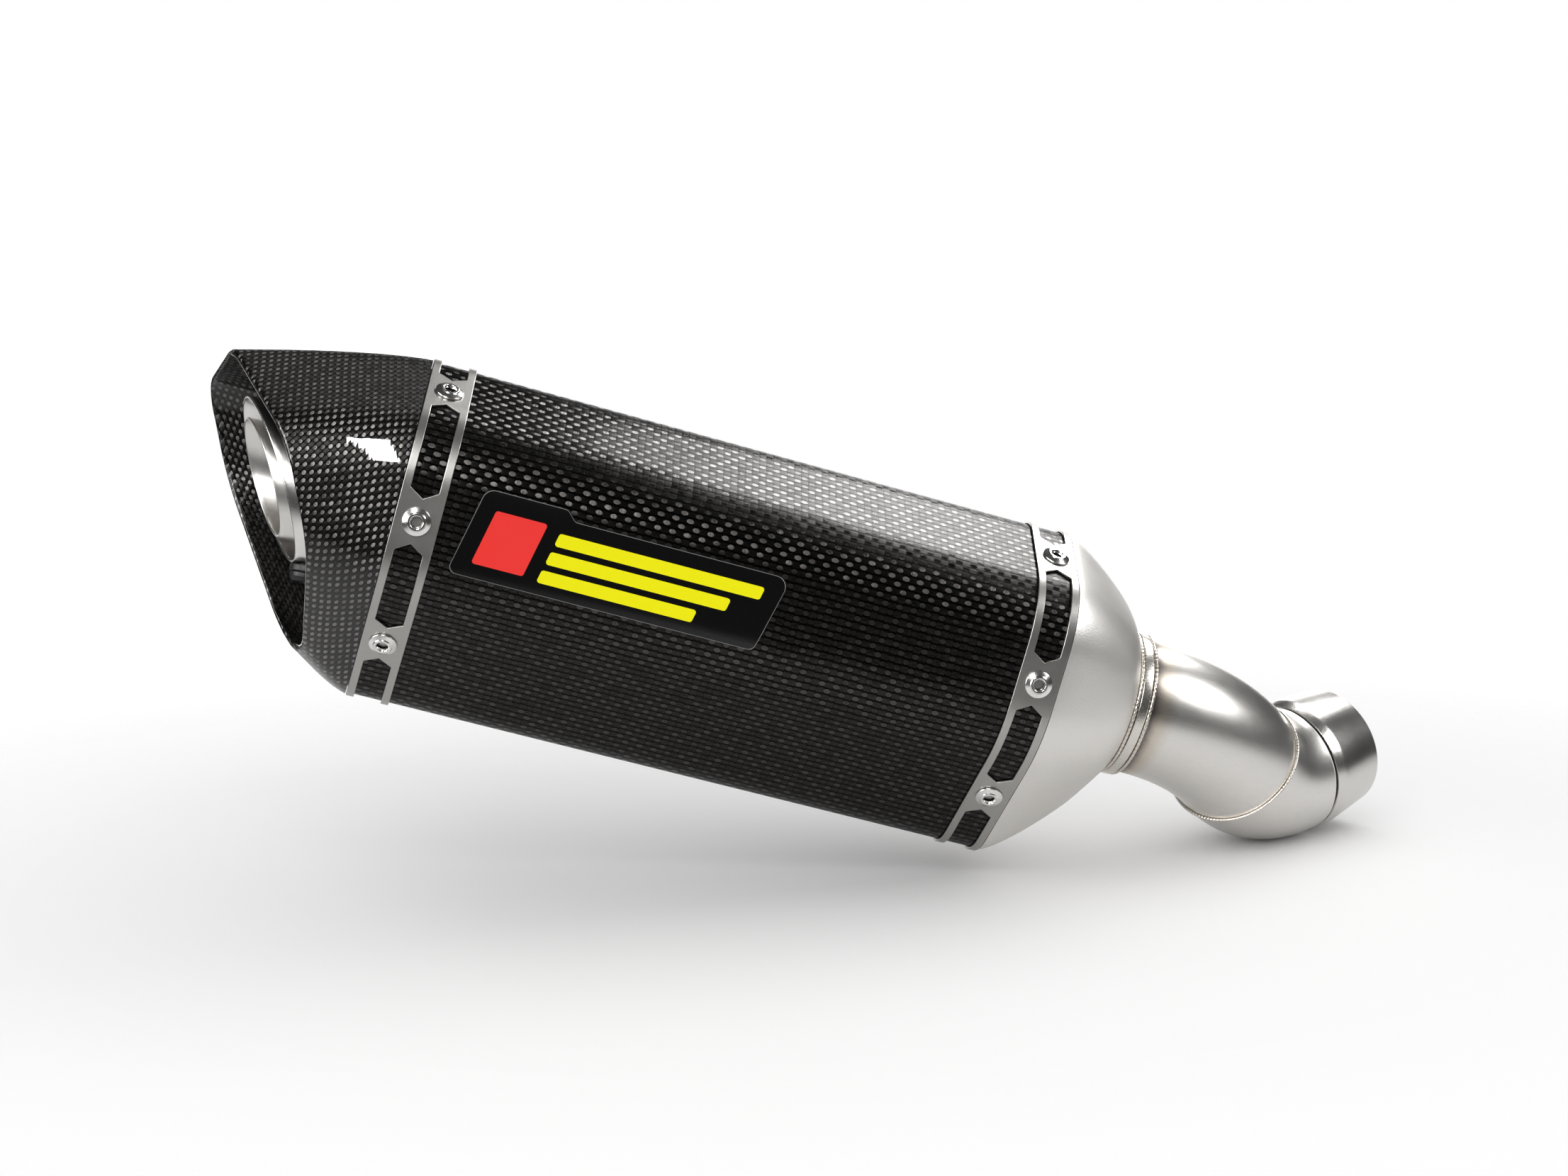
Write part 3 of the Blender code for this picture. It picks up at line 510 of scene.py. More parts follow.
def weave_material(name, tow, shape, crimp, camber, fibre, light, roughness, coat, rows_share, twist=0.0):
    """Plain-weave carbon under clear coat: cross tows show as short floats over the long tows.

    shape is a float's half length and half width in tows, crimp how far long and cross tows bend, camber
    their roundness, fibre their fuzziness, light the colour of the brightest floats, coat its weight and
    roughness, rows_share how bright the long tows are against the floats, and twist how far the sheen is
    turned, in full turns. The floats' brighter colour is a painted highlight. The long tows' darker colour,
    darkest at their edges and where they dip under the floats, is painted shade.
    """
    material, tree, shader, surface = new_material(name)
    wander = noise(tree, surface, 35.0, 2.0)
    drift = calc(tree, "MULTIPLY_ADD", wander, 0.5 * tow, -0.25 * tow)
    split = add(tree, "SeparateXYZ", {0: surface})
    across = [calc(tree, "DIVIDE", calc(tree, "ADD", split.outputs[axis], drift), tow) for axis in (0, 1)]
    cells = [calc(tree, "FLOOR", value) for value in across]
    inner = [calc(tree, "SUBTRACT", calc(tree, "SUBTRACT", a, b), 0.5) for a, b in zip(across, cells)]
    parity = calc(tree, "FLOORED_MODULO", calc(tree, "ADD", cells[0], cells[1]), 2.0)
    cell = add(tree, "CombineXYZ", {0: cells[0], 1: cells[1]}).outputs[0]
    chance = add(tree, "TexWhiteNoise", {0: cell}, noise_dimensions="3D")
    tilt = add(tree, "SeparateXYZ", {0: chance.outputs[1]})

    oval = add(tree, "CombineXYZ", {
        0: calc(tree, "DIVIDE", inner[0], shape[0]), 1: calc(tree, "DIVIDE", inner[1], shape[1])
    }).outputs[0]
    far = add(tree, "VectorMath", {0: oval}, operation="LENGTH").outputs["Value"]
    from_rim = calc(tree, "SUBTRACT", 1.0, far)
    rim = add(tree, "Math", {0: from_rim, 1: 6.0}, operation="MULTIPLY", use_clamp=True)
    over = calc(tree, "MULTIPLY", parity, rim.outputs[0])

    fine = [calc(tree, "MULTIPLY", value, 7.0) for value in across]
    lengthways = add(tree, "CombineXYZ", {0: across[0], 1: fine[1]}).outputs[0]
    crossways = add(tree, "CombineXYZ", {0: fine[0], 1: across[1]}).outputs[0]
    strands = [noise(tree, vector, 1.0, 4.0, 0.7) for vector in (crossways, lengthways)]
    strand = blend_value(tree, over, strands[1], strands[0])
    shares = (calc(tree, "MULTIPLY", over, fibre), calc(tree, "MULTIPLY_ADD", over, -fibre, fibre))
    strengths = (blend_value(tree, over, crimp[0], camber), blend_value(tree, over, camber, crimp[1]))
    normal = []
    for index in (0, 1):
        across_tow = calc(tree, "ABSOLUTE", calc(tree, "MULTIPLY", inner[index], 2.0))
        bulge = calc(tree, "POWER", across_tow, FLAT_TOP)
        bulge = calc(tree, "MULTIPLY", bulge, calc(tree, "SIGN", inner[index]))
        splay = calc(tree, "MULTIPLY", calc(tree, "SUBTRACT", strands[index], 0.5), shares[index])
        slope = calc(tree, "MULTIPLY_ADD", bulge, strengths[index], splay)
        lean = calc(tree, "MULTIPLY_ADD", tilt.outputs[index], TOW_TILT, -0.5 * TOW_TILT)
        slope = calc(tree, "ADD", slope, lean)
        normal.append(calc(tree, "MULTIPLY_ADD", slope, 0.5, 0.5))
    colour = add(tree, "CombineXYZ", {0: normal[0], 1: normal[1], 2: 1.0}).outputs[0]
    bent = add(tree, "NormalMap", {"Color": colour}, uv_map=UV_NAME)
    link(tree, bent.outputs[0], shader.inputs["Normal"])

    # Painted shade: the long tows are darker than the floats, and darker still towards their edges and where
    # they dip under the floats.
    tow_edge_shade = calc(tree, "MULTIPLY", calc(tree, "SUBTRACT", 0.5, calc(tree, "ABSOLUTE", inner[1])), 5.0)
    rows = add(tree, "Math", {0: tow_edge_shade, 1: 1.0}, operation="MINIMUM").outputs[0]
    under = calc(tree, "MULTIPLY", rows, calc(tree, "MULTIPLY_ADD", parity, -0.7 * rows_share, rows_share))
    # Painted highlight: the floats get a brighter colour than the long tows, with a random tone per float on
    # top. The fibre streaks are the weave's own grain.
    float_tone_and_highlight = calc(tree, "MULTIPLY_ADD", chance.outputs[0], 1.1, 0.4)
    streaks = calc(tree, "MULTIPLY_ADD", strand, 2.6, -0.3)
    shade = calc(tree, "MULTIPLY", blend_value(tree, over, under, float_tone_and_highlight), streaks)
    tone = ramp(tree, shade, [(0.0, (0.0006, 0.0006, 0.0006)), (1.0, light)])
    link(tree, tone, shader.inputs["Base Color"])
    link(tree, calc(tree, "MULTIPLY_ADD", strand, 0.14, roughness - 0.07), shader.inputs["Roughness"])

    shader.inputs["Metallic"].default_value = 1.0
    shader.inputs["Anisotropic"].default_value = FIBRE_SHEEN
    link(tree, blend_value(tree, over, QUARTER_TURN + twist, twist), shader.inputs["Anisotropic Rotation"])
    tangent = add(tree, "Tangent", direction_type="UV_MAP", uv_map=UV_NAME)
    link(tree, tangent.outputs[0], shader.inputs["Tangent"])
    shader.inputs["Coat Weight"].default_value = coat[0]
    shader.inputs["Coat Roughness"].default_value = coat[1]
    shader.inputs["Coat IOR"].default_value = 1.45
    ripple = calc(tree, "MULTIPLY", calc(tree, "COSINE", calc(tree, "MULTIPLY", inner[0], TAU)),
                  calc(tree, "COSINE", calc(tree, "MULTIPLY", inner[1], TAU)))
    height = calc(tree, "MULTIPLY_ADD", ripple, 0.03, noise(tree, surface, 140.0, 2.0))
    peel = add(tree, "Bump", {"Height": height, "Strength": 0.08, "Distance": 0.0006})
    link(tree, peel.outputs[0], shader.inputs["Coat Normal"])
    return material


# ---- steels

def steel_material(name, colour, roughness, grain=(1.0, 1.0), grain_scale=900.0, mottle=0.06, bump=0.12,
                   anisotropy=0.0, tint=None):
    """Bare steel: fine grain stretched along the surface map, soft mottling and optional heat tint."""
    material, tree, shader, surface = new_material(name)
    lines = noise(tree, stretched(tree, surface, (*grain, 1.0)), grain_scale, 4.0, 0.6)
    clouds = noise(tree, surface, 45.0, 4.0, 0.6)
    shade = calc(tree, "ADD", calc(tree, "MULTIPLY_ADD", clouds, 2.0 * mottle, 1.0 - mottle),
                 calc(tree, "MULTIPLY_ADD", lines, 0.12, -0.06))
    base = shaded(tree, colour, shade)
    link(tree, base if tint is None else tint(tree, surface, base), shader.inputs["Base Color"])
    rough = calc(tree, "ADD", calc(tree, "MULTIPLY_ADD", clouds, 0.10, roughness - 0.05),
                 calc(tree, "MULTIPLY_ADD", lines, 0.10, -0.05))
    link(tree, rough, shader.inputs["Roughness"])
    roughen(tree, shader, lines, bump)
    shader.inputs["Metallic"].default_value = 1.0
    shader.inputs["Anisotropic"].default_value = anisotropy
    return material


def heat_tint(stops):
    """A tint along U, in metres, from (distance, colour) stops, multiplied over the bare metal."""
    length = stops[-1][0]

    def tint(tree, surface, base):
        split = add(tree, "SeparateXYZ", {0: surface})
        edge = calc(tree, "MULTIPLY_ADD", noise(tree, surface, 260.0, 3.0), 0.0016, -0.0008)
        share = calc(tree, "DIVIDE", calc(tree, "ADD", split.outputs[0], edge), length)
        shades = ramp(tree, share, [(distance / length, colour) for distance, colour in stops])
        mixed = add(tree, "Mix", {0: 1.0}, data_type="RGBA", blend_type="MULTIPLY")
        link(tree, base, mixed.inputs[6])
        link(tree, shades, mixed.inputs[7])
        return mixed.outputs[2]

    return tint


def film_material(name, colour, roughness=0.22):
    """Printed vinyl film: nearly even colour, faint dust, glossy."""
    material, tree, shader, surface = new_material(name)
    specks = noise(tree, surface, 1500.0, 2.0, 0.8)
    dust = ramp(tree, specks, [(0.70, 0.0), (0.78, 0.05)])
    base = add(tree, "Mix", {0: dust}, data_type="RGBA")
    base.inputs[6].default_value = (*colour, 1.0)
    base.inputs[7].default_value = (0.5, 0.5, 0.5, 1.0)
    link(tree, base.outputs[2], shader.inputs["Base Color"])
    clouds = noise(tree, surface, 60.0, 3.0)
    link(tree, calc(tree, "MULTIPLY_ADD", clouds, 0.08, roughness - 0.04), shader.inputs["Roughness"])
    roughen(tree, shader, noise(tree, surface, 300.0, 2.0), 0.03)
    return material


def fibre_material(name, colour):
    """Packing wool: tangled fibres, rough and pale."""
    material, tree, shader, _ = new_material(name)
    place = add(tree, "TexCoord").outputs["Object"]
    tangle = noise(tree, place, 900.0, 6.0, 0.7)
    lumps = noise(tree, place, 70.0, 3.0)
    shade = calc(tree, "MULTIPLY_ADD", tangle, 0.5, calc(tree, "MULTIPLY_ADD", lumps, 0.4, 0.4))
    link(tree, shaded(tree, colour, shade), shader.inputs["Base Color"])
    shader.inputs["Roughness"].default_value = 0.95
    roughen(tree, shader, tangle, 0.6, 0.0006)
    return material


def inner_steel_material(name, colour, roughness):
    """Plain inner sheet steel, sooted in clouds, mapped by place."""
    material, tree, shader, _ = new_material(name)
    place = add(tree, "TexCoord").outputs["Object"]
    soot = noise(tree, place, 60.0, 5.0, 0.6)
    grain = noise(tree, place, 1400.0, 2.0)
    shade = calc(tree, "MULTIPLY_ADD", soot, 0.7, calc(tree, "MULTIPLY_ADD", grain, 0.2, 0.5))
    link(tree, shaded(tree, colour, shade), shader.inputs["Base Color"])
    link(tree, calc(tree, "MULTIPLY_ADD", soot, 0.2, roughness - 0.1), shader.inputs["Roughness"])
    roughen(tree, shader, grain, 0.1)
    shader.inputs["Metallic"].default_value = 1.0
    return material


# ---- carbon shell

def make_sleeve():
    outside, inside = inset(BODY, SLEEVE_OFFSET), inset(BODY, SLEEVE_OFFSET + SLEEVE_WALL)
    end = BAND_OUTER_X - FIT
    profile = [(-end, outside), (0.0, outside), (end, outside), (end, inside), (0.0, inside), (-end, inside)]
    look = weave_material(
        "carbon_sleeve", SLEEVE_TOW, SLEEVE_FLOAT, crimp=(0.06, 0.14), camber=0.12, fibre=0.9,
        light=SLEEVE_LIGHT, roughness=0.34, coat=(0.07, 0.10), rows_share=0.42,
    )
    piece = body_ring("sleeve_shell", profile, look)
    place_piece(piece, "carbon_sleeve", "outer_sleeve")


def rim_x(point):
    """Distance along the axis of the slanted mouth of the end cap."""
    return RIM_TIP_X + RIM_RAKE * (RIM_SIZE["crown"] - point.y) - RIM_YAW * point.x


def cap_row(along, offset):
    """One row of points round the end cap, from its base at 0 to its mouth at 1."""
    start = -(BAND_OUTER_X + FIT)
    row = []
    for (base, base_normal), (edge, edge_normal) in zip(BODY, RIM):
        flat = base.lerp(edge, along ** CAP_TAPER)
        inwards = base_normal.lerp(edge_normal, along) * offset
        x = start + along * (rim_x(edge) - start)
        row.append(Vector((x, flat.x - inwards.x, flat.y - inwards.y)))
    return row


def lip_rows(outer, outer_before, inner, steps=8):
    """Rows that round the cap's edge from its outer skin to its inner one, without passing the rim."""
    rows = []
    for step in range(steps + 1):
        angle = math.pi * step / steps
        row = []
        for out, before, within in zip(outer, outer_before, inner):
            ahead = (out - before).normalized()
            half = 0.5 * (out - within)
            centre = 0.5 * (out + within) - ahead * half.length
            row.append(centre + half * math.cos(angle) + ahead * half.length * math.sin(angle))
        rows.append(row)
    return rows


def make_cap():
    base_x = -(BAND_OUTER_X + FIT)
    inner = SKIN_OFFSET + CAP_WALL
    outer_rows = [cap_row(step / CAP_ROWS, SKIN_OFFSET) for step in range(CAP_ROWS + 1)]
    inner_rows = [cap_row(step / CAP_ROWS, inner) for step in range(CAP_ROWS, 0, -1)]
    rows = outer_rows[:-1] + lip_rows(outer_rows[-1], outer_rows[-2], inner_rows[0]) + inner_rows[1:]
    for x, offset in (
        (base_x - 1.5 * MM, SPIGOT_OFFSET + SPIGOT_WALL),
        (base_x + SPIGOT_DEPTH, SPIGOT_OFFSET + SPIGOT_WALL),
        (base_x + SPIGOT_DEPTH, SPIGOT_OFFSET),
        (base_x, SPIGOT_OFFSET),
    ):
        rows.append([Vector((x, point.x, point.y)) for point in inset(BODY, offset)])
    bias = HANGING_ANGLE + CAP_BIAS
    uv = []
    rounds = [lengths_round(row) for row in rows]
    for index in range(len(BODY) + 1):
        pairs = []
        for row, lengths in zip(rows, rounds):
            arc = lengths[index]
            x = CAP_DRAPE * row[index % len(BODY)].x
            turned_x = x * math.cos(bias) - arc * math.sin(bias)
            pairs.append((turned_x, x * math.sin(bias) + arc * math.cos(bias)))
        uv.append([*pairs, pairs[0]])
    grid = [[row[index] for row in rows] for index in range(len(BODY))]
    look = weave_material(
        "carbon_cap", CAP_TOW, CAP_FLOAT, crimp=(0.30, 0.30), camber=0.30, fibre=0.6,
        light=CAP_LIGHT, roughness=0.48, coat=(1.0, 0.02), rows_share=0.14, twist=0.105,
    )
    piece = loft("cap_shell", grid, uv, look)
    place_piece(piece, "carbon_cap", "end_cap")


# ---- bands and rivets

def window_spans():
    """Start and end of each window round a band, measured from the crown."""
    rivets = sorted([*RIVET_ARCS, *(PERIMETER - arc for arc in RIVET_ARCS)])
    spans = [(a + WINDOW_BRIDGE, b - WINDOW_BRIDGE) for a, b in zip(rivets, rivets[1:])]
    return spans + [(rivets[-1] + WINDOW_BRIDGE, rivets[0] + PERIMETER - WINDOW_BRIDGE)]


def window_half(start, end):
    """The upper half of a window's rounded outline: (distance round the body, half width)."""
    corner = WINDOW_CORNER
    outline = filleted([
        (start, 0.0, 0.0),
        (start + WINDOW_POINT, WINDOW_HALF_WIDTH, corner),
        (end - WINDOW_POINT, WINDOW_HALF_WIDTH, corner),
        (end, 0.0, 0.0),
    ], closed=False)
    stations = [(point.x, point.y) for point in outline]
    middle = stations[:len(stations) // 2]
    rest = stations[len(stations) // 2:]
    low, high = middle[-1][0], rest[0][0]
    count = int((high - low) / (1.5 * MM))
    fill = [(low + (high - low) * step / count, WINDOW_HALF_WIDTH) for step in range(1, count)]
    return middle + fill + rest


def band_stations():
    """All stations round a band, as (distance, window half width)."""
    stations = []
    spans = window_spans()
    for index, (start, end) in enumerate(spans):
        stations += window_half(start, end)
        after = spans[(index + 1) % len(spans)][0] + (PERIMETER if index + 1 == len(spans) else 0.0)
        stations += [(end + (after - end) * step / BRIDGE_STEPS, 0.0) for step in range(1, BRIDGE_STEPS)]
    return stations


def make_band(side, name, look):
    """A steel band with rounded edges and six-sided windows."""
    centre = side * (BAND_OUTER_X - 0.5 * BAND_WIDTH)
    reach = 0.5 * BAND_WIDTH
    points, faces, corners = [], [], []
    stations = band_stations()
    for arc, half in stations:
        flat, _ = on_body(arc)
        for x in (-reach, -half, half, reach):
            points.append((centre + x, flat.x, flat.y))
    count = len(stations)
    for index in range(count):
        other = (index + 1) % count
        arcs = (stations[index][0], stations[other][0] + (PERIMETER if other == 0 else 0.0))
        for low in (0, 2):
            faces.append((4 * index + low, 4 * other + low, 4 * other + low + 1, 4 * index + low + 1))
            ends = ((index, 0), (other, 0), (other, 1), (index, 1))
            xs = [points[4 * place + low + step][0] for place, step in ends]
            corners += list(zip(xs, (arcs[0], arcs[1], arcs[1], arcs[0])))
    piece = make_piece(name + "_sheet", points, faces, corners, look, 60.0)
    thicken(piece, BAND_SHEET, 0.22 * MM)
    place_piece(piece, "band_steel", name)


def thicken(piece, thickness, edge):
    """Gives a sheet its thickness, inwards, and rounds its edges."""
    solid = piece.modifiers.new("thickness", "SOLIDIFY")
    solid.thickness = thickness
    solid.offset = -1.0
    bevel = piece.modifiers.new("rounded_edges", "BEVEL")
    bevel.width = edge
    bevel.segments = 3
    bevel.limit_method = "ANGLE"
    bevel.angle_limit = math.radians(60.0)
    bevel.harden_normals = True


def rivet_profiles(depth):
    """A blind rivet's head, from under its rim to its hole, and the mandrel, broken off at a depth in mm."""
    head = filleted([
        (0.0, 2.4, 0.0),
        (0.0, 4.9, 0.10),
        (0.55, 4.88, 0.30),
        (1.25, 3.35, 0.30),
        (1.62, 3.05, 0.30),
        (1.62, 2.25, 0.35),
        (0.70, 1.85, 0.30),
        (0.50, 1.78, 0.0),
    ], closed=False)
    mandrel = filleted([
        (0.50, 1.78, 0.0),
        (depth, 1.70, 0.12),
        (depth, 1.25, 0.10),
        (depth + 0.25, 1.00, 0.20),
        (depth + 0.10, 0.0, 0.0),
    ], closed=False)
    return [[(RIVET_SEAT + point.x * MM, point.y * MM) for point in outer] for outer in (head, mandrel)]


def make_rivets(side, end_name, look, shaded_mandrel_look):
    """Six rivets round one band."""
    arcs = (*RIVET_ARCS, *(-arc for arc in reversed(RIVET_ARCS)))
    for number, (arc, depth) in enumerate(zip(arcs, MANDREL_BREAKS), 1):
        flat, normal = on_body(arc)
        placing = axis_placing((side * RIVET_X, flat.x, flat.y), (0.0, normal.x, normal.y))
        head, mandrel = rivet_profiles(depth)
        tail = -(SPIGOT_OFFSET + SPIGOT_WALL + FIT)
        shank = [(tail - 2.6 * MM, 0.0), (tail - 2.2 * MM, 2.6 * MM), (tail, 3.2 * MM), (tail, 2.35 * MM)]
        name = f"{end_name}_rivet_{number}"
        piece = turned(name + "_head", [*shank, *head], placing, look, closed=False, steps=40)
        place_piece(piece, "rivet_steel", name)
        core = turned(name + "_mandrel", mandrel, placing, shaded_mandrel_look, closed=False, steps=40)
        place_piece(core, "rivet_steel")


# ---- outlet tube and noise insert

def raked_tube(name, radius, wall, inner_x, mouth_x, rake, look):
    """A straight tube with a slanted mouth and a rounded edge."""
    steps, lip_steps = 96, 6
    grid, uv = [], []
    for step in range(steps + 1):
        angle = TAU * step / steps
        y, z = math.cos(angle), math.sin(angle)
        mouth = mouth_x - (rake * z + TIP_YAW * y) * radius
        half = 0.5 * wall
        middle = radius - half
        profile = [(inner_x, radius), (mouth + 4.0 * half, radius)]
        for lip in range(lip_steps + 1):
            turn = math.pi * lip / lip_steps
            profile.append((mouth + half - half * math.sin(turn), middle + half * math.cos(turn)))
        profile += [(mouth + 4.0 * half, radius - wall), (inner_x, radius - wall)]
        grid.append([(x, y * r, z * r + CORE_Z) for x, r in profile])
        uv.append([(x - mouth_x, angle * radius) for x, _ in [*profile, profile[0]]])
    return loft(name, grid[:-1], uv, look)


def bolt_placing(height):
    """A placing on the retaining bolt's axis, pointing out of the outlet tube from below."""
    out = Vector((0.0, -math.sin(BOLT_ANGLE), -math.cos(BOLT_ANGLE)))
    return axis_placing(Vector((BOLT_X, 0.0, CORE_Z)) + out * height, out)


def make_outlet(tip_steel, insert_steel, shaded_bolt_steel, weld_steel):
    tip = raked_tube("tip_tube", TIP_RADIUS, TIP_WALL, TIP_INNER_X, TIP_MOUTH_X, TIP_RAKE, tip_steel)
    place_piece(tip, "tip_steel", "outlet_tip")
    insert = raked_tube(
        "insert_shell", INSERT_RADIUS, INSERT_WALL, INSERT_INNER_X, INSERT_MOUTH_X, INSERT_RAKE, insert_steel
    )
    place_piece(insert, "tip_steel", "insert_tube", body="noise_insert")
    bead_place = core_placing(BULKHEAD_X - 1.2 * MM)
    make_bead("tip_bead", bead_place, TIP_RADIUS + 1.3 * MM, 0.8 * MM, weld_steel, "tip_weld")
    bore = BOLT_SHANK + FIT
    boss = filleted([
        (FIT, BOSS_RADIUS, 0.2 * MM), (BOSS_HEIGHT, BOSS_RADIUS, 0.5 * MM),
        (BOSS_HEIGHT, bore, 0.1 * MM), (FIT, bore, 0.1 * MM),
    ])
    piece = turned("boss_ring", boss, bolt_placing(TIP_RADIUS), shaded_bolt_steel, steps=48)
    place_piece(piece, "inner_steel", "bolt_boss")
    seat = BOSS_HEIGHT + FIT
    head = filleted([
        (-0.7 * MM, 0.0, 0.0), (-0.7 * MM, BOLT_SHANK, 0.2 * MM), (seat, BOLT_SHANK, 0.0),
        (seat, 5.0 * MM, 0.15 * MM), (seat + 1.5 * MM, 4.8 * MM, 0.5 * MM),
        (seat + 2.8 * MM, 3.5 * MM, 0.5 * MM), (seat + 2.8 * MM, 2.1 * MM, 0.2 * MM),
        (seat + 1.2 * MM, 2.0 * MM, 0.1 * MM), (seat + 1.2 * MM, 0.0, 0.0),
    ], closed=False)
    piece = turned("bolt_head", head, bolt_placing(TIP_RADIUS), shaded_bolt_steel, closed=False, steps=48)
    place_piece(piece, "bolt_steel", "insert_bolt")


# ---- cone, pipe and slip sleeve

def make_cone(look):
    start = BAND_OUTER_X + FIT

    def rows(offset, radius):
        outline, circle = inset(BODY, offset), circle_like(BODY, radius, CORE_Z)
        made = []
        for step in range(CONE_ROWS + 1):
            along = math.sin(0.5 * math.pi * step / CONE_ROWS)
            swell = (1.0 - CONE_LIP) * along ** CONE_SWELL + CONE_LIP * along ** CONE_LIP_POWER
            x = start + along * (CONE_END_X - start)
            made.append((x, [a.lerp(b, swell) for a, b in zip(outline, circle)]))
        return made

    inner = SPIGOT_OFFSET + SPIGOT_WALL
    profile = rows(SKIN_OFFSET, CONE_END_RADIUS)
    profile += reversed(rows(SKIN_OFFSET + 2.0 * CONE_SHEET, CONE_END_RADIUS - CONE_SHEET)[1:])
    profile += [
        (start + 1.5 * MM, inset(BODY, inner)),
        (start - SPIGOT_DEPTH, inset(BODY, inner)),
        (start - SPIGOT_DEPTH, inset(BODY, SPIGOT_OFFSET)),
        (start, inset(BODY, SPIGOT_OFFSET)),
    ]
    piece = body_ring("cone_shell", profile, look)
    place_piece(piece, "cone_steel", "inlet_cone")


def make_bead(name, placing, radius, thickness, look, replaced, ripples=90):
    """A weld bead: a ring of overlapping small pools."""
    profile = []
    for corner in range(16):
        angle = TAU * corner / 16
        profile.append((thickness * math.cos(angle), radius + thickness * math.sin(angle)))

    def wobble(points, angle):
        ripple = abs(math.sin(0.5 * ripples * angle))
        grow = 0.80 + 0.20 * ripple
        lean = 0.12 * thickness * math.sin(5.0 * angle + 1.0)
        return [(x * grow + lean, radius + (r - radius) * grow) for x, r in points]

    piece = turned(name, profile, placing, look, steps=6 * ripples, wobble=wobble)
    place_piece(piece, "weld_steel", replaced)


def make_pipes(pipe_steel, elbow_steel, sleeve_steel, collar_steel, weld_steel):
    gap = FIT / 2
    first = [*FIRST_PIPE[:-1], move_along(FIRST_PIPE[-1], -gap)]
    second = [move_along(SECOND_PIPE[0], gap), *SECOND_PIPE[1:]]
    piece = swept("bend_pipe", first, PIPE_RADIUS, PIPE_WALL, pipe_steel)
    place_piece(piece, "pipe_steel", "link_pipe_bend")
    piece = swept("elbow_pipe", second, PIPE_RADIUS, PIPE_WALL, elbow_steel)
    place_piece(piece, "pipe_steel", "link_pipe_elbow")
    bore, outer, length = PIPE_RADIUS + FIT, COLLAR_RING_RADIUS, COLLAR_RING_LENGTH
    ring = filleted([
        (0.0, outer, 0.35 * MM), (length, outer, 0.5 * MM), (length, bore, 0.1 * MM), (0.0, bore, 0.1 * MM),
    ])
    piece = turned("collar_band", ring, core_placing(COLLAR_RING_X), collar_steel)
    place_piece(piece, "pipe_steel", "inlet_collar")
    spacing = BEAD + FIT
    before, after = core_placing(COLLAR_RING_X - spacing), core_placing(COLLAR_RING_X + length + spacing)
    make_bead("cone_bead", before, outer - 0.2 * MM, BEAD, weld_steel, "cone_weld")
    make_bead("collar_bead", after, bore + BEAD, BEAD, weld_steel, "collar_weld")
    make_bead("bend_bead", FIRST_PIPE[-1], PIPE_RADIUS + 0.55 * MM, 0.6 * MM, weld_steel, "bend_weld", 120)
    end = FLARE_LENGTH + MOUTH_LENGTH
    profile = filleted([
        (FIT, PIPE_RADIUS + 0.1 * MM, 0.1 * MM),
        (FLARE_LENGTH, FLARE_RADIUS, 6.0 * MM),
        (end - 0.6 * MM, MOUTH_RADIUS, 0.4 * MM),
        (end, MOUTH_RADIUS - 0.5 * MM, 0.2 * MM),
        (end, MOUTH_RADIUS - SLEEVE_SHEET - 0.6 * MM, 0.2 * MM),
        (FLARE_LENGTH, FLARE_RADIUS - SLEEVE_SHEET - 0.4 * MM, 6.0 * MM),
        (FIT, PIPE_RADIUS - PIPE_WALL - 0.1 * MM, 0.1 * MM),
    ])
    piece = turned("slip_sleeve", profile, SLEEVE_PLACE, sleeve_steel)
    place_piece(piece, "sleeve_steel", "inlet_sleeve")


# ---- decal

def film_piece(name, outline, lift, thickness, look):
    """A thin film on the sleeve, from an outline of (x, distance round the body)."""
    bm = bmesh.new()
    verts = [bm.verts.new((point.x, point.y, 0.0)) for point in outline]
    bm.faces.new(verts)
    lowest = min(point.y for point in outline)
    highest = max(point.y for point in outline)
    step = 1.2 * MM
    for number in range(1, int((highest - lowest) / step) + 1):
        geometry = [*bm.verts, *bm.edges, *bm.faces]
        cut = Vector((0.0, lowest + number * step, 0.0))
        bmesh.ops.bisect_plane(bm, geom=geometry, plane_co=cut, plane_no=(0.0, 1.0, 0.0), dist=1e-7)
    bm.verts.index_update()
    flat = [(vert.co.x, vert.co.y) for vert in bm.verts]
    faces = [tuple(vert.index for vert in face.verts) for face in bm.faces]
    bm.free()
    points = []
    for x, arc in flat:
        place, normal = on_body(arc)
        place = place - normal * (SLEEVE_OFFSET - lift)
        points.append((x, place.x, place.y))
    corners = [flat[index] for face in faces for index in face]
    piece = make_piece(name, points, faces, corners, look)
    solid = piece.modifiers.new("thickness", "SOLIDIFY")
    solid.thickness = thickness
    solid.offset = -1.0
    crisp = piece.modifiers.new("crisp_edges", "EDGE_SPLIT")
    crisp.split_angle = math.radians(50.0)
    return piece


# ---- fitting to the frame

def place_piece(piece, slot, *nodes, body="muffler"):
    """Lets a piece ride on its body and stand for its nodes, whose solids it hides; its slot is not used."""
    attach(piece, body)
    if nodes:
        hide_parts(*nodes)


def label_outline(grow):
    """The label's stepped outline in (x, distance round the body), grown all round."""
    left, right, top, bottom, lean = (LABEL[key] for key in ("left", "right", "top", "bottom", "lean"))
    drop = LABEL_STEP["drop"]
    return filleted([
        (left - grow, bottom + grow, 2.6 * MM),
        (left + lean - grow, top - grow, 4.0 * MM),
        (LABEL_STEP["x"] - 1.5 * MM, top - grow, 2.0 * MM),
        (LABEL_STEP["x"] + 2.0 * MM, top + drop - grow, 2.0 * MM),
        (right + lean + grow, top + drop - grow, 4.0 * MM),
        (right + grow, bottom + grow, 2.6 * MM),
    ])


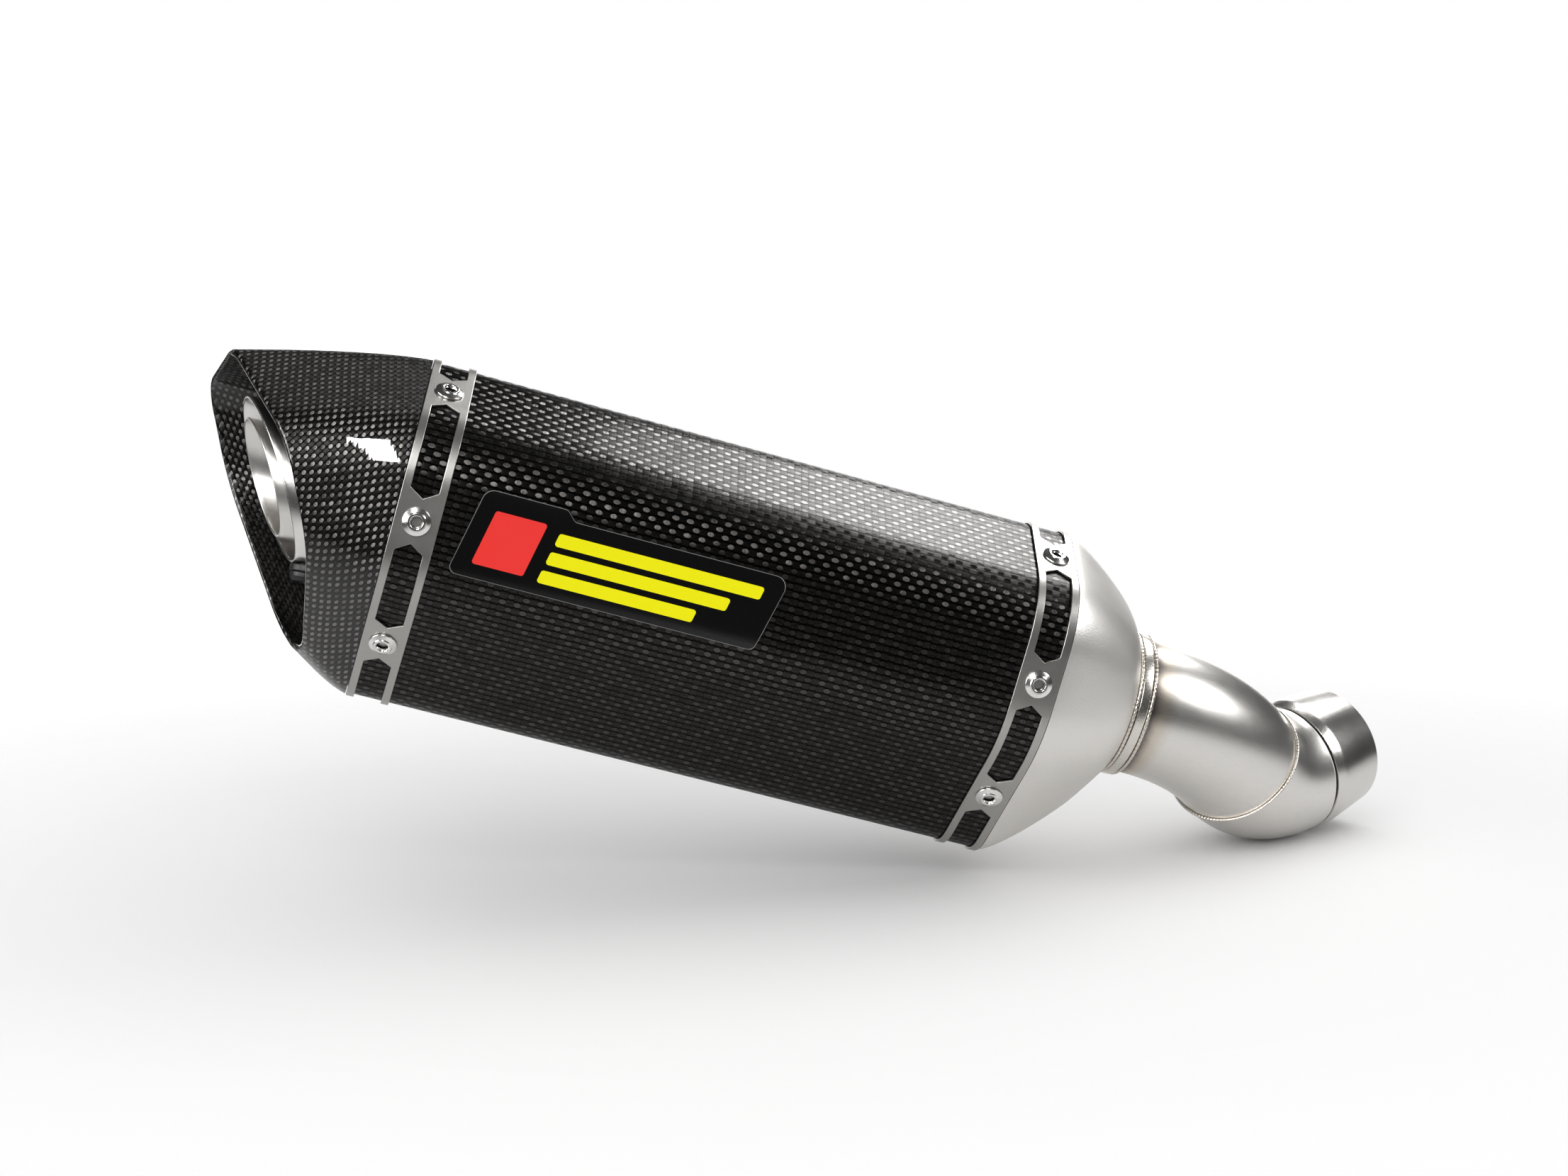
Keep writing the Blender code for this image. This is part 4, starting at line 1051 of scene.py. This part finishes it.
def make_decal():
    """A plain black film with a plain slanted block and three plain stripes."""
    left, right, top, bottom, lean = (LABEL[key] for key in ("left", "right", "top", "bottom", "lean"))
    black = film_material("label_black", (0.004, 0.004, 0.0045), 0.16)
    # The grey rim round the black film, under its edge, is a painted highlight along the film's thickness.
    edge = film_material("label_edge_highlight", (0.22, 0.22, 0.215), 0.3)
    red = film_material("label_red", (1.0, 0.045, 0.038))
    yellow = film_material("label_yellow", (1.0, 0.95, 0.0))
    film = film_piece("label_film", label_outline(0.0), 0.16 * MM, 0.12 * MM, black)
    place_piece(film, "label_film", "label_plate")
    highlight_rim = film_piece("label_highlight_rim", label_outline(LABEL_HIGHLIGHT_RIM), 0.09 * MM, 0.05 * MM, edge)
    place_piece(highlight_rim, "label_film")
    tilt = lean / (bottom - top)

    def slanted(name, start, end, low, high, look):
        shape = filleted([
            (start + (bottom - high) * tilt, high, 1.0 * MM),
            (start + (bottom - low) * tilt, low, 1.0 * MM),
            (end + (bottom - low) * tilt, low, 1.0 * MM),
            (end + (bottom - high) * tilt, high, 1.0 * MM),
        ])
        place_piece(film_piece(name, shape, 0.20 * MM, 0.03 * MM, look), "label_film")

    slanted("label_block", left + 6.0 * MM, left + 24.0 * MM, top + 6.5 * MM, bottom - 5.0 * MM, red)
    height = 4.6 * MM
    for number in range(3):
        low = top + 8.5 * MM + number * (height + 2.2 * MM)
        start = left + 29.0 * MM
        end = right - 6.0 * MM - number * 9.0 * MM
        slanted(f"label_stripe_{number + 1}", start, end, low, low + height, yellow)


def finish_hidden_parts():
    """Materials for the sub-parts that keep their solids."""
    plate = inner_steel_material("inner_plate", (0.42, 0.40, 0.38), 0.5)
    wool = inner_steel_material("steel_wool", (0.20, 0.20, 0.20), 0.7)
    fibre = fibre_material("packing_fibre", (0.75, 0.71, 0.60))
    looks = {
        "core_tube": plate, "outlet_baffle": plate, "inlet_baffle": plate, "outlet_bulkhead": plate,
        "insert_collar": plate, "insert_guide_ring": plate, "steel_wool_wrap": wool, "fibre_packing": fibre,
    }
    for name, look in looks.items():
        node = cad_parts[name]
        if not node.material_slots:
            node.data.materials.append(look)
        for slot in node.material_slots:
            slot.material = look


# ---- studio

def make_floor():
    """A plain pale tabletop at the height of the part's lowest point, fading out well clear of the part."""
    low, high = (Vector(corner) for corner in cad_box)
    bm = bmesh.new()
    bmesh.ops.create_grid(bm, x_segments=4, y_segments=4, size=1.5)
    mesh = bpy.data.meshes.new("floor")
    bm.to_mesh(mesh)
    bm.free()
    material, tree, shader, _ = new_material("floor_paper")
    place = add(tree, "TexCoord").outputs["Object"]
    soft = noise(tree, place, 3.0, 2.0)
    pale = ramp(tree, soft, [(0.0, (0.90, 0.90, 0.90)), (1.0, (0.92, 0.92, 0.92))])
    # Painted shade in reflections: where the floor is seen in a reflection, its colour is painted darker.
    glossy = add(tree, "LightPath").outputs["Is Glossy Ray"]
    reflection_shade = calc(tree, "MULTIPLY_ADD", glossy, FLOOR_REFLECTION_SHADE - 1.0, 1.0)
    link(tree, scaled(tree, pale, reflection_shade), shader.inputs["Base Color"])
    shader.inputs["Roughness"].default_value = 0.9
    shader.inputs["Specular IOR Level"].default_value = 0.1
    from_middle = stretched(tree, place, (1.0 / FLOOR_REACH[0], 1.0 / FLOOR_REACH[1], 0.0))
    far = add(tree, "VectorMath", {0: from_middle}, operation="LENGTH").outputs["Value"]
    cover = ramp(tree, calc(tree, "MULTIPLY", far, 0.5), [(0.36, 1.0), (0.62, 0.0)])
    link(tree, cover, shader.inputs["Alpha"])
    mesh.materials.append(material)
    floor = new_object("floor", mesh)
    floor.location = (0.5 * (low.x + high.x), 0.5 * (low.y + high.y), low.z)


def softbox(
    name, aim, size, radiance, distance=1.3, centre=STUDIO_CENTRE, lean=0.0, glossy=True, diffuse=True
):
    """An area light aimed at a point from (azimuth, elevation): azimuth 0 is -Y and 90 is +X.

    size is its width and height in degrees, as seen from that point.
    """
    turn, lift = (math.radians(angle) for angle in aim)
    away = Vector((math.sin(turn) * math.cos(lift), -math.cos(turn) * math.cos(lift), math.sin(lift)))
    data = bpy.data.lights.new(name, "AREA")
    data.shape = "RECTANGLE"
    data.size, data.size_y = (2.0 * distance * math.tan(math.radians(0.5 * angle)) for angle in size)
    data.energy = radiance * math.pi * data.size * data.size_y
    lamp = new_object(name, data)
    facing = away.to_track_quat("Z", "Y").to_matrix().to_4x4() @ Matrix.Rotation(math.radians(lean), 4, "Z")
    lamp.matrix_world = Matrix.Translation(Vector(centre) + away * distance) @ facing
    lamp.visible_camera = False
    lamp.visible_glossy = glossy
    lamp.visible_diffuse = diffuse


def make_world():
    """White to the camera, and a dim studio to everything else."""
    world = bpy.data.worlds.new("studio")
    world.use_nodes = True
    tree = world.node_tree
    background = tree.nodes["Background"]
    path = add(tree, "LightPath")
    grey = blend_value(tree, path.outputs["Is Camera Ray"], ROOM_GLOSS, 1.0)
    grey = blend_value(tree, path.outputs["Is Diffuse Ray"], grey, ROOM_FILL)
    colour = add(tree, "CombineColor", {0: grey, 1: grey, 2: grey}).outputs[0]
    link(tree, colour, background.inputs["Color"])
    bpy.context.scene.world = world


def make_lights():
    cap, roof, pipe = (-0.372, -0.091, 0.137), (-0.200, -0.066, 0.112), (-0.078, -0.069, 0.038)
    softbox("top_fill", (0.0, 90.0), (80.0, 80.0), 0.95, 2.0, glossy=False)
    softbox("front_fill", (-10.0, 35.0), (60.0, 40.0), 1.4, 1.8, glossy=False)
    softbox("front_strip", (-9.5, 32.0), (7.0, 32.0), 40.0, 1.2, cap, 6.0, diffuse=False)
    softbox("roof_box", (135.0, 47.0), (24.0, 20.0), 18.0, 1.3, roof, diffuse=False)
    softbox("side_box", (64.0, 34.0), (26.0, 24.0), 9.0, 1.3, pipe, diffuse=False)
    softbox("left_box", (-65.0, 15.0), (32.0, 40.0), 8.0, 1.3, cap, diffuse=False)
    softbox("back_box", (180.0, 3.0), (70.0, 36.0), 2.2, diffuse=False)


def make_camera():
    """The camera of the three-quarter view from the outer side."""
    data = bpy.data.cameras.new("camera")
    data.lens = 54.6
    data.sensor_width = 36.0
    camera = new_object("camera", data)
    camera.location = (-0.3400, -0.8914, 0.2255)
    camera.rotation_euler = (math.radians(80.15), 0.0, math.radians(-7.62))
    bpy.context.scene.camera = camera
    bpy.context.scene.view_settings.view_transform = "Standard"


# ---- build

def build():
    make_camera()
    make_floor()
    make_world()
    make_lights()
    make_sleeve()
    make_cap()
    band = steel_material("band_satin", (0.44, 0.43, 0.41), 0.34, (1.0, 6.0), 420.0)
    rivet = steel_material("rivet_bright", (0.84, 0.83, 0.81), 0.20, (1.0, 1.0), 500.0, 0.05, 0.06)
    # The mandrels' near-black colour is painted shade for the rivet holes, not the steel's own colour.
    mandrel = steel_material("rivet_mandrel_painted_shade", (0.012, 0.0115, 0.011), 0.5, (1.0, 1.0), 500.0, 0.2, 0.3)
    for side, end_name in ((-1, "outlet"), (1, "inlet")):
        make_band(side, end_name + "_band", band)
        make_rivets(side, end_name, rivet, mandrel)
    weld = steel_material("weld_bead", (0.74, 0.69, 0.62), 0.28, (1.0, 1.0), 700.0, 0.12, 0.2)
    # The bolt and its boss are painted near black: painted shade for their place under the outlet tip, not
    # the steel's own colour.
    bolt_shade_look = steel_material("bolt_painted_shade", (0.05, 0.05, 0.05), 0.5, (1.0, 1.0), 700.0)
    tip = steel_material("tip_polished", (0.80, 0.78, 0.76), 0.24, (1.0, 8.0), 300.0, 0.08, 0.05)
    insert = steel_material("insert_brushed", (0.74, 0.72, 0.69), 0.32, (1.0, 8.0), 300.0, 0.10, 0.08)
    make_outlet(tip, insert, bolt_shade_look, weld)
    cone = steel_material("cone_blasted", (0.82, 0.80, 0.77), 0.46, (1.0, 1.0), 1500.0, 0.05, 0.35)
    make_cone(cone)
    bend_tint = heat_tint([
        (0.0, (0.8, 0.75, 0.68)), (0.0105, (0.75, 0.68, 0.58)), (0.0120, (0.22, 0.20, 0.20)),
        (0.0150, (0.80, 0.74, 0.66)), (0.0200, (1.0, 1.0, 1.0)), (0.0700, (1.0, 1.0, 1.0)),
    ])
    satin = (0.76, 0.74, 0.71)
    pipe = steel_material("pipe_satin", satin, 0.33, (1.0, 5.0), 260.0, 0.03, 0.02, tint=bend_tint)
    elbow = steel_material("elbow_satin", satin, 0.31, (1.0, 5.0), 260.0, 0.03, 0.02)
    slip = steel_material("sleeve_machined", (0.72, 0.70, 0.67), 0.24, (9.0, 1.0), 300.0, 0.08, 0.12)
    collar = steel_material("collar_satin", (0.74, 0.71, 0.66), 0.26, (1.0, 3.0), 500.0, 0.10, 0.12)
    make_pipes(pipe, elbow, slip, collar, weld)
    make_decal()
    finish_hidden_parts()


build()
